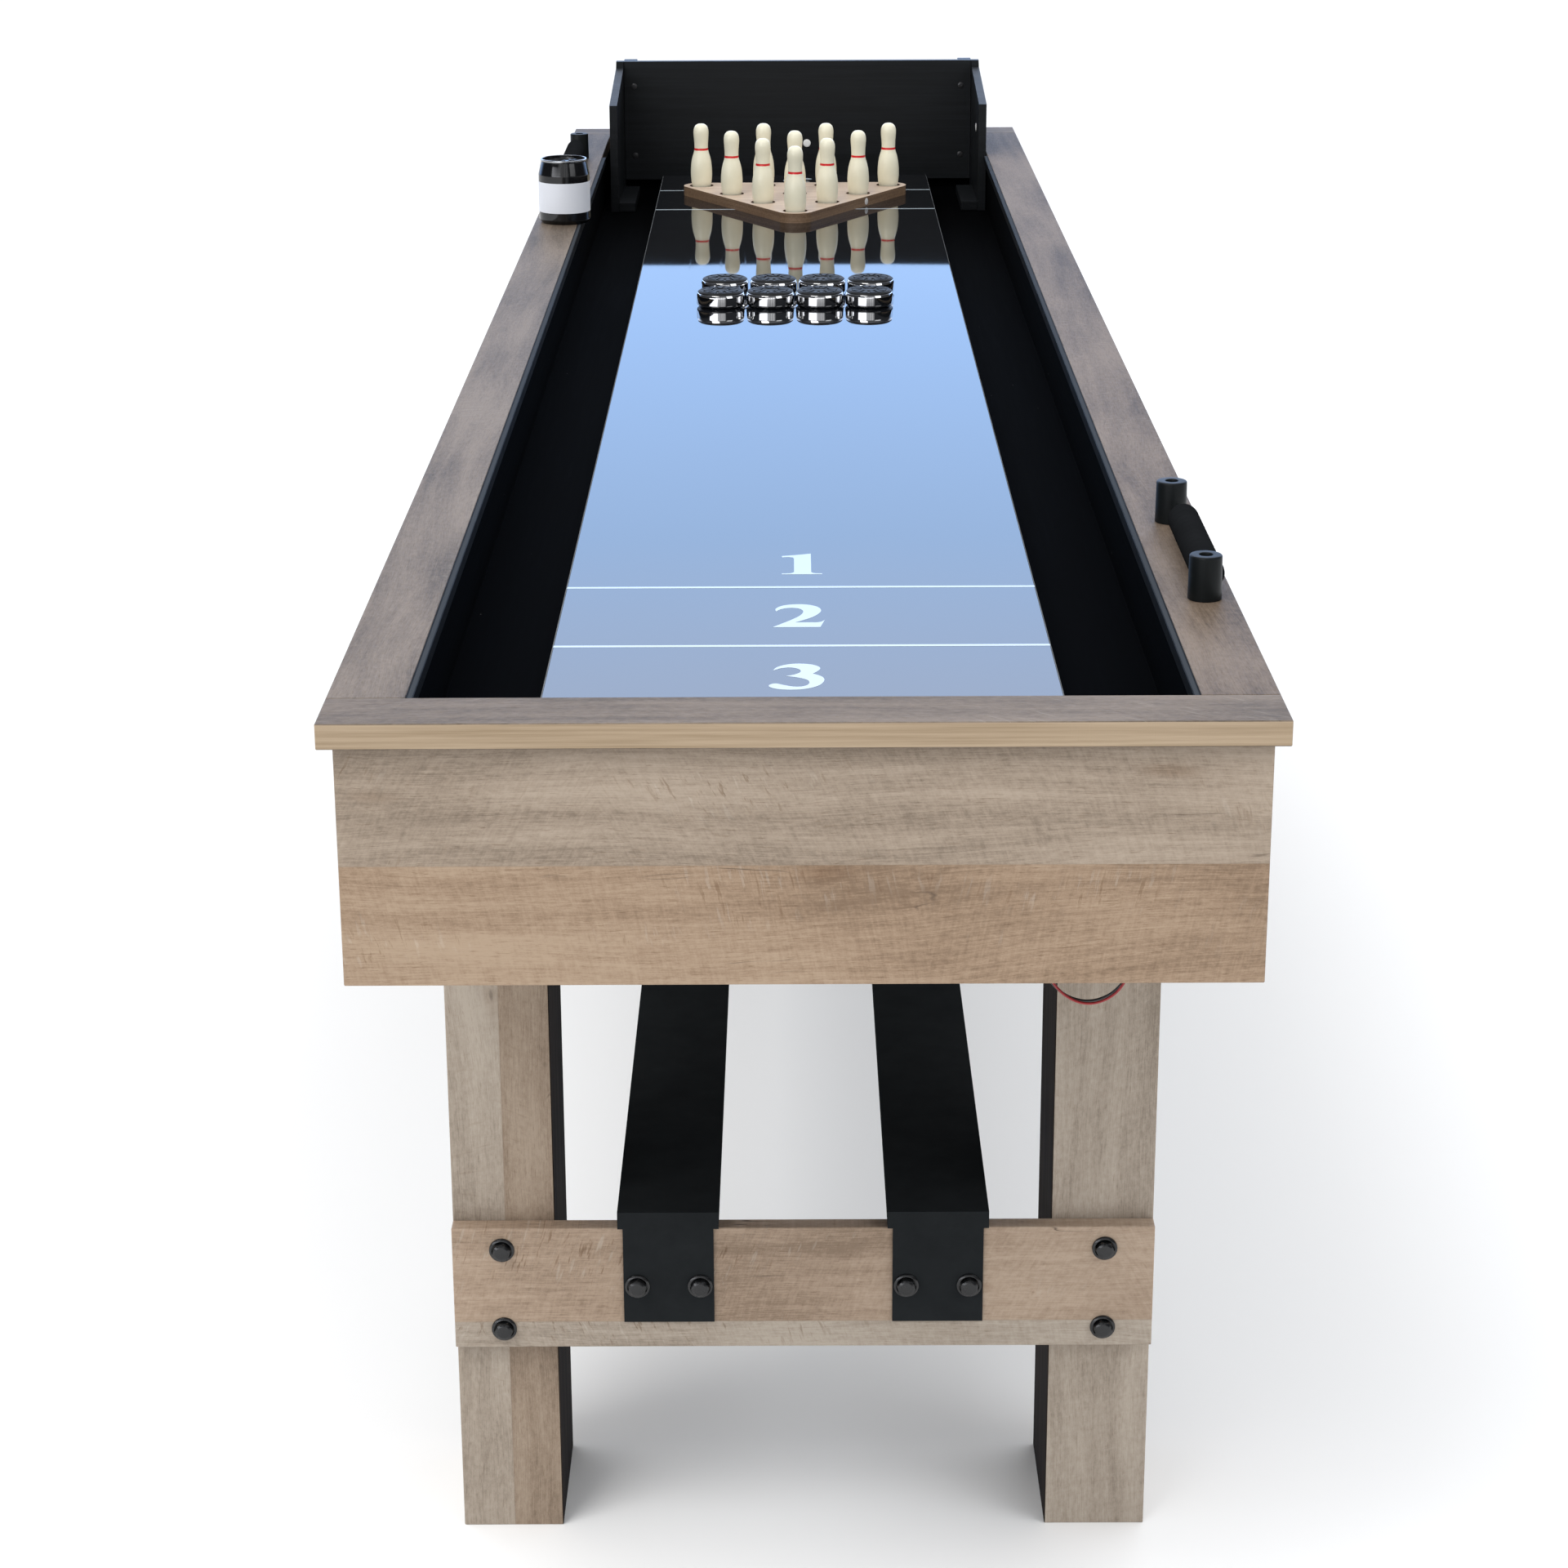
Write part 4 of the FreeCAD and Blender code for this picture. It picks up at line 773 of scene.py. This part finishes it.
def make_can():
    low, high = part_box("wax_can")
    built = bmesh.new()
    body = rounded([(0, 1.5), (21, 1.5), (23, 0, 1.5), (26.8, 0, 1.5), (29.8, 4.2, 3.2), (29.8, 56.0, 5),
                    (27.2, 67.0, 5), (26.2, 70.6, 1.2), (26.2, 71.5)], 6)
    revolve(built, body, 96, index=0)
    collar = rounded([(26.2, 71.5), (26.8, 71.8, 0.3), (26.8, 73.6, 0.8), (25.4, 74, 0.4), (25.0, 73.4, 0.4)], 5)
    revolve(built, collar, 96, index=1)
    lid = rounded([(25.0, 73.4), (24.8, 69.8, 0.8), (23.4, 69.4, 0.5), (22.6, 70.2, 0.5), (21.4, 70.3, 0.5),
                   (20.8, 69.7, 0.5), (0, 69.7)], 5)
    revolve(built, lid, 96, index=0)
    tab = []
    for count in range(36):
        angle = TAU * count / 36
        tab.append((7.5 + 9.5 * math.cos(angle), 5.6 * math.sin(angle)))
    solid(built, tab, 70.0, 70.7, index=0)
    ring = rounded([(2.6, 70.6), (4.6, 70.6, 0.3), (4.6, 71.6, 0.4), (2.6, 71.6, 0.3)], 3)
    revolve(built, ring, 32, True, matrix=Matrix.Translation((11.5 * MM, 0, 0)), index=0)
    revolve(built, rounded([(0, 70.5), (2.0, 70.5), (2.0, 71.3, 0.4), (0, 71.4)], 3), 24, index=0)
    black = plastic("can_black", (0.0040, 0.0042, 0.0048), 0.12, 1500, 0.00001)
    bright = metal("can_lid", (0.42, 0.43, 0.45), 0.16, (300, 300, 300), 0.16)
    can = finish_mesh("wax_can_detail", to_mesh("wax_can_detail", built, 0.6), [black, bright], "can",
                      stands_for=("wax_can",))
    can.location = ((low.x + high.x) / 2, (low.y + high.y) / 2, low.z)
    label = bmesh.new()
    sleeve = [(29.82, 13.4), (29.92, 13.5), (29.92, 47.9), (29.82, 48.0)]
    revolve(label, sleeve, 96)
    paper = plastic("label_paper", (0.63, 0.65, 0.70), 0.42, 500, 0.00002, variation=0.04)
    label_piece = finish_mesh("wax_can_label", to_mesh("wax_can_label", label), paper, "can")
    label_piece.location = can.location


def make_rack_dot():
    """A small blank white sticker on the rack's right slanted side."""
    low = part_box("pin_rack")[0]
    corner_radius, across = 23, 91
    along = low.y / MM - corner_radius + across * math.sqrt(3)
    built = bmesh.new()
    revolve(built, [(0, 0), (4.2, 0), (4.3, 0.05), (4.2, 0.1), (0, 0.1)], 32,
            matrix=at(across, along, 752.8, (math.sqrt(3) / 2, -0.5, 0)))
    finish_mesh("rack_sticker", to_mesh("rack_sticker", built),
                plastic("sticker_white", (0.62, 0.60, 0.58), 0.4, variation=0.06), "rack")


def make_backboard_details():
    """A white cap on the panel, a white cap-shaped dot on one cheek's inner face that is a painted highlight, and the
    panel's low round screw heads.
    """
    plug_and_highlight = bmesh.new()
    # the first dot is a real white cap; the second, on the right cheek's inner face, is a painted highlight
    for place, axis in (((17.2, BACKBOARD_FACE, 775.4), (0, -1, 0)), ((242.5, 1164, 814.5), (-1, 0, 0))):
        revolve(plug_and_highlight, rounded([(0, 0), (5.2, 0), (5.2, 0.4, 0.25), (3.9, 0.8, 0.9), (0, 0.9)], 5), 40,
                matrix=at(*place, axis))
    finish_mesh("backboard_cap_and_highlight", to_mesh("backboard_cap_and_highlight", plug_and_highlight),
                plastic("white_plug_and_highlight", (0.80, 0.80, 0.78), 0.3, variation=0.05), "backboard")
    screws = bmesh.new()
    low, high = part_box("backboard_screws")
    middle = (low.x + high.x) / 2 / MM
    for side in (-1, 1):
        for height, shank in ((853.5, 22), (759.5, 11.5)):
            head = rounded([(0, -shank), (0.8, -shank + 1), (1.75, -shank + 4), (1.75, 0), (4, 0), (4, 0.5, 0.3),
                            (2.6, 1.0, 0.5)], 4)
            revolve(screws, head + [(1.3, 1.05), (0.9, 0.4), (0, 0.3)], 24,
                    matrix=at(middle + 224 * side, BACKBOARD_FACE, height, (0, -1, 0)))
    finish_mesh("backboard_screws_detail", to_mesh("backboard_screws_detail", screws),
                metal("screw_dark", (0.030, 0.030, 0.032), 0.34, metallic=0.4), "backboard",
                stands_for=("backboard_screws",))


# ---- printing on the playfield --------------------------------------------

# Each numeral is an outline of (x, y) in millimetres; "c" marks a corner, the rest flow.
NUMERALS = {
    1: [(-14.5, 0, "c"), (16.5, 0, "c"), (16.5, 2.4, "c"), (10.5, 3.2), (8.2, 6.5, "c"), (8.2, 62, "c"),
        (-5.5, 57.2), (-14.5, 55.0, "c"), (-14.2, 50.5, "c"), (-9.5, 51.4), (-6.0, 50.0), (-5, 46.5, "c"),
        (-5, 6.5, "c"), (-7.5, 3.2), (-14.5, 2.4, "c")],
    2: [(-21, 0, "c"), (13.8, 0, "c"), (17.3, 19.5, "c"), (14.4, 14.0), (11.0, 12.4, "c"), (-4.6, 12.4, "c"),
        (8.5, 27.0), (14.6, 42.5), (12.5, 53.5), (5.5, 60.0), (-3.5, 61.5), (-13.5, 58.0), (-18.8, 49.5),
        (-18.4, 42.0, "c"), (-15.0, 48.0), (-8.0, 51.6), (-1.5, 49.5), (1.5, 42.0), (-0.8, 31.0), (-7.5, 19.0),
        (-14.5, 9.0)],
    3: [(-20.2, 45.4, "c"), (-17.6, 53.5), (-11.0, 60.0), (-2.0, 62.3), (8.5, 58.8), (12.7, 50.0), (7.4, 38.0, "c"),
        (13.6, 31.0), (15.2, 22.0), (11.4, 10.0), (2.5, 2.2), (-9.0, 0.2), (-19.0, 3.2), (-23.0, 9.5), (-19.0, 14.8),
        (-13.0, 11.4), (-6.0, 7.4), (0.8, 8.2), (4.7, 14.5), (3.6, 22.8), (-3.6, 29.2), (-11.4, 32.4, "c"),
        (-6.0, 35.4), (-1.2, 41.8), (-2.0, 48.4), (-7.6, 52.8), (-14.5, 51.2)],
}
PRINT_LOW, PRINT_HIGH = BOARD_TOP, BOARD_TOP + 0.12
PRINT_LINE_WIDTH = 4.6


def numeral_outline(numeral, steps=8):
    """The numeral's outline as many points: straight at marked corners, smooth elsewhere."""
    marks = NUMERALS[numeral]
    count = len(marks)
    handles = []
    for index, mark in enumerate(marks):
        here = Vector(mark[:2])
        before, after = Vector(marks[index - 1][:2]), Vector(marks[(index + 1) % count][:2])
        if len(mark) == 3:
            handles.append((here, here))
            continue
        lean = (after - before).normalized()
        handles.append((here - lean * (here - before).length / 3, here + lean * (after - here).length / 3))
    outline = []
    for index, mark in enumerate(marks):
        following = (index + 1) % count
        a, d = Vector(mark[:2]), Vector(marks[following][:2])
        b, c = handles[index][1], handles[following][0]
        straight = len(mark) == 3 and len(marks[following]) == 3
        for step in range(1 if straight else steps):
            t = step / steps
            outline.append(tuple(a * (1 - t) ** 3 + b * 3 * t * (1 - t) ** 2 + c * 3 * t * t * (1 - t) + d * t ** 3))
    return outline


def make_print():
    """Cross lines and scoring numerals at both ends; the far end reads from the far side."""
    built = bmesh.new()
    half = 177.0
    for end in (-1, 1):
        for along in SCORING_LINES:
            y = along * end
            solid(built, [(-half, y - PRINT_LINE_WIDTH / 2), (half, y - PRINT_LINE_WIDTH / 2),
                          (half, y + PRINT_LINE_WIDTH / 2), (-half, y + PRINT_LINE_WIDTH / 2)], PRINT_LOW, PRINT_HIGH)
        for numeral, base in ((1, -870.0), (2, -1017.0), (3, -1172.0)):
            turn = 1 if end < 0 else -1
            points = [(x * turn, (base + y) * turn) for x, y in numeral_outline(numeral)]
            solid(built, points, PRINT_LOW, PRINT_HIGH)
    built.normal_update()
    bmesh.ops.triangulate(built, faces=[face for face in built.faces if len(face.verts) > 4])
    finish_mesh("playfield_print", to_mesh("playfield_print", built), paint_white(), "table")


# ---- floor, light and world -----------------------------------------------

def make_stage():
    built = bmesh.new()
    bmesh.ops.create_grid(built, x_segments=2, y_segments=2, size=45)
    mesh = bpy.data.meshes.new("floor")
    built.to_mesh(mesh)
    built.free()
    floor = bpy.data.objects.new("floor", mesh)
    bpy.context.scene.collection.objects.link(floor)
    shade = Shade("floor_pale")
    soft = shade.noise(shade.place, 1.2, detail=3)
    tone = shade.mix(soft, (0.90, 0.90, 0.895), (0.93, 0.93, 0.925))
    mesh.materials.append(shade.set(Base_Color=tone, Roughness=0.9, Specular_IOR_Level=0.1))


def make_light(name, place, aim, size, power, tone=(1, 1, 1), mirrored=True):
    data = bpy.data.lights.new(name, "AREA")
    data.shape = "RECTANGLE"
    data.size, data.size_y = size
    data.energy = power
    data.color = tone
    lamp = bpy.data.objects.new(name, data)
    lamp.location = place
    lamp.rotation_euler = (Vector(aim) - Vector(place)).to_track_quat("-Z", "Y").to_euler()
    lamp.visible_camera = False
    lamp.visible_glossy = mirrored
    bpy.context.scene.collection.objects.link(lamp)
    return lamp


def make_world():
    """White to the camera, a soft dome to matt surfaces, a blue sky and a dark room to glossy ones."""
    world = bpy.data.worlds.new("studio")
    bpy.context.scene.world = world
    world.use_nodes = True
    tree = world.node_tree
    tree.nodes.clear()

    def node(kind, inputs=(), output=0, **settings):
        return add_node(tree, kind, inputs, output, **settings)

    direction = node("ShaderNodeTexCoord")
    parts = tree.nodes.new("ShaderNodeSeparateXYZ")
    tree.links.new(direction, parts.inputs[0])
    stops = [(0.10, (0.95, 1.42, 2.30)), (0.19, (1.02, 1.58, 2.62)), (0.25, (1.18, 1.74, 2.72)),
             (0.33, (1.92, 2.22, 2.90)), (0.55, (0.9, 1.0, 1.2)), (0.8, (0.85, 0.88, 0.95))]
    sky_ahead = add_ramp(tree, parts.outputs[2], stops)
    ahead = node("ShaderNodeMapRange", {0: parts.outputs[1], 1: 0.35, 2: 0.75}, interpolation_type="SMOOTHSTEP")

    def step(given, low, high, new_low=0.0, new_high=1.0):
        return node("ShaderNodeMapRange", {0: given, 1: low, 2: high, 3: new_low, 4: new_high},
                    interpolation_type="SMOOTHSTEP")

    def both(a, b):
        return node("ShaderNodeMath", {0: a, 1: b}, operation="MULTIPLY")

    def mixed(share, a, b):
        return node("ShaderNodeMix", {0: share, 6: colour(a), 7: colour(b)}, 2, data_type="RGBA")

    def both_sides(across):
        return node("ShaderNodeCombineXYZ", {0: node("ShaderNodeMath", {0: across, 1: 14.0}, operation="MULTIPLY")})

    # behind the near end: a dark room with one bright, striped doorway and one small window
    sideways = node("ShaderNodeMath", {0: parts.outputs[0]}, operation="ABSOLUTE")
    stripes = node("ShaderNodeTexNoise", {"Vector": both_sides(parts.outputs[0]), "Scale": 1.0, "Detail": 1.0})
    behind = step(parts.outputs[1], -0.2, -0.5)
    doorway = both(both(step(sideways, 0.32, 0.44, 1, 0), behind),
                   both(step(parts.outputs[2], 0.52, 0.40, 0, 1), step(parts.outputs[2], -0.34, -0.24)))
    glow = both(step(stripes, 0.40, 0.56, 0.25, 1.0), doorway)
    window = both(both(step(parts.outputs[0], -0.82, -0.76), step(parts.outputs[0], -0.22, -0.28)),
                  both(step(parts.outputs[2], 0.04, 0.08), step(parts.outputs[2], 0.30, 0.26)))
    room = mixed(step(parts.outputs[2], 0.60, 0.82), (0.045, 0.047, 0.052), (0.30, 0.31, 0.33))
    room = mixed(glow, room, (1.5, 1.52, 1.56))
    room = mixed(both(window, behind), room, (5.0, 5.1, 5.4))
    sky = node("ShaderNodeMix", {0: ahead, 6: room, 7: sky_ahead}, 2, data_type="RGBA")
    path = tree.nodes.new("ShaderNodeLightPath")
    dome = mixed(step(parts.outputs[2], 0.0, 0.62), (0.34, 0.34, 0.35), (1.22, 1.24, 1.28))
    seen = node("ShaderNodeMix", {0: path.outputs["Is Glossy Ray"], 6: dome, 7: sky}, 2, data_type="RGBA")
    seen = node("ShaderNodeMix", {0: path.outputs["Is Camera Ray"], 6: seen, 7: (1, 1, 1, 1)}, 2, data_type="RGBA")
    background = tree.nodes.new("ShaderNodeBackground")
    tree.links.new(seen, background.inputs[0])
    output = tree.nodes.new("ShaderNodeOutputWorld")
    tree.links.new(background.outputs[0], output.inputs[0])


def make_lights():
    make_light("key", (-2.2, -3.3, 4.8), (0, -0.4, 0.6), (3.0, 2.2), 140, (1.0, 0.985, 0.96))
    make_light("fill", (3.2, -2.9, 3.2), (0, -0.3, 0.5), (2.4, 2.2), 34, (0.96, 0.98, 1.0))
    make_light("rear", (1.2, 4.6, 3.4), (0, 0.6, 0.7), (3.0, 1.6), 30, (0.95, 0.98, 1.0), mirrored=False)


bpy.context.scene.view_settings.view_transform = "Standard"

dress_nodes()
make_frame_bolts()
make_scorers()
make_pins()
make_pucks()
make_can()
make_rack_dot()
make_backboard_details()
make_print()
for piece in [o for o in bpy.context.scene.objects if "wanted_body" in o]:
    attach(piece, piece["wanted_body"])
make_stage()
make_world()
make_lights()
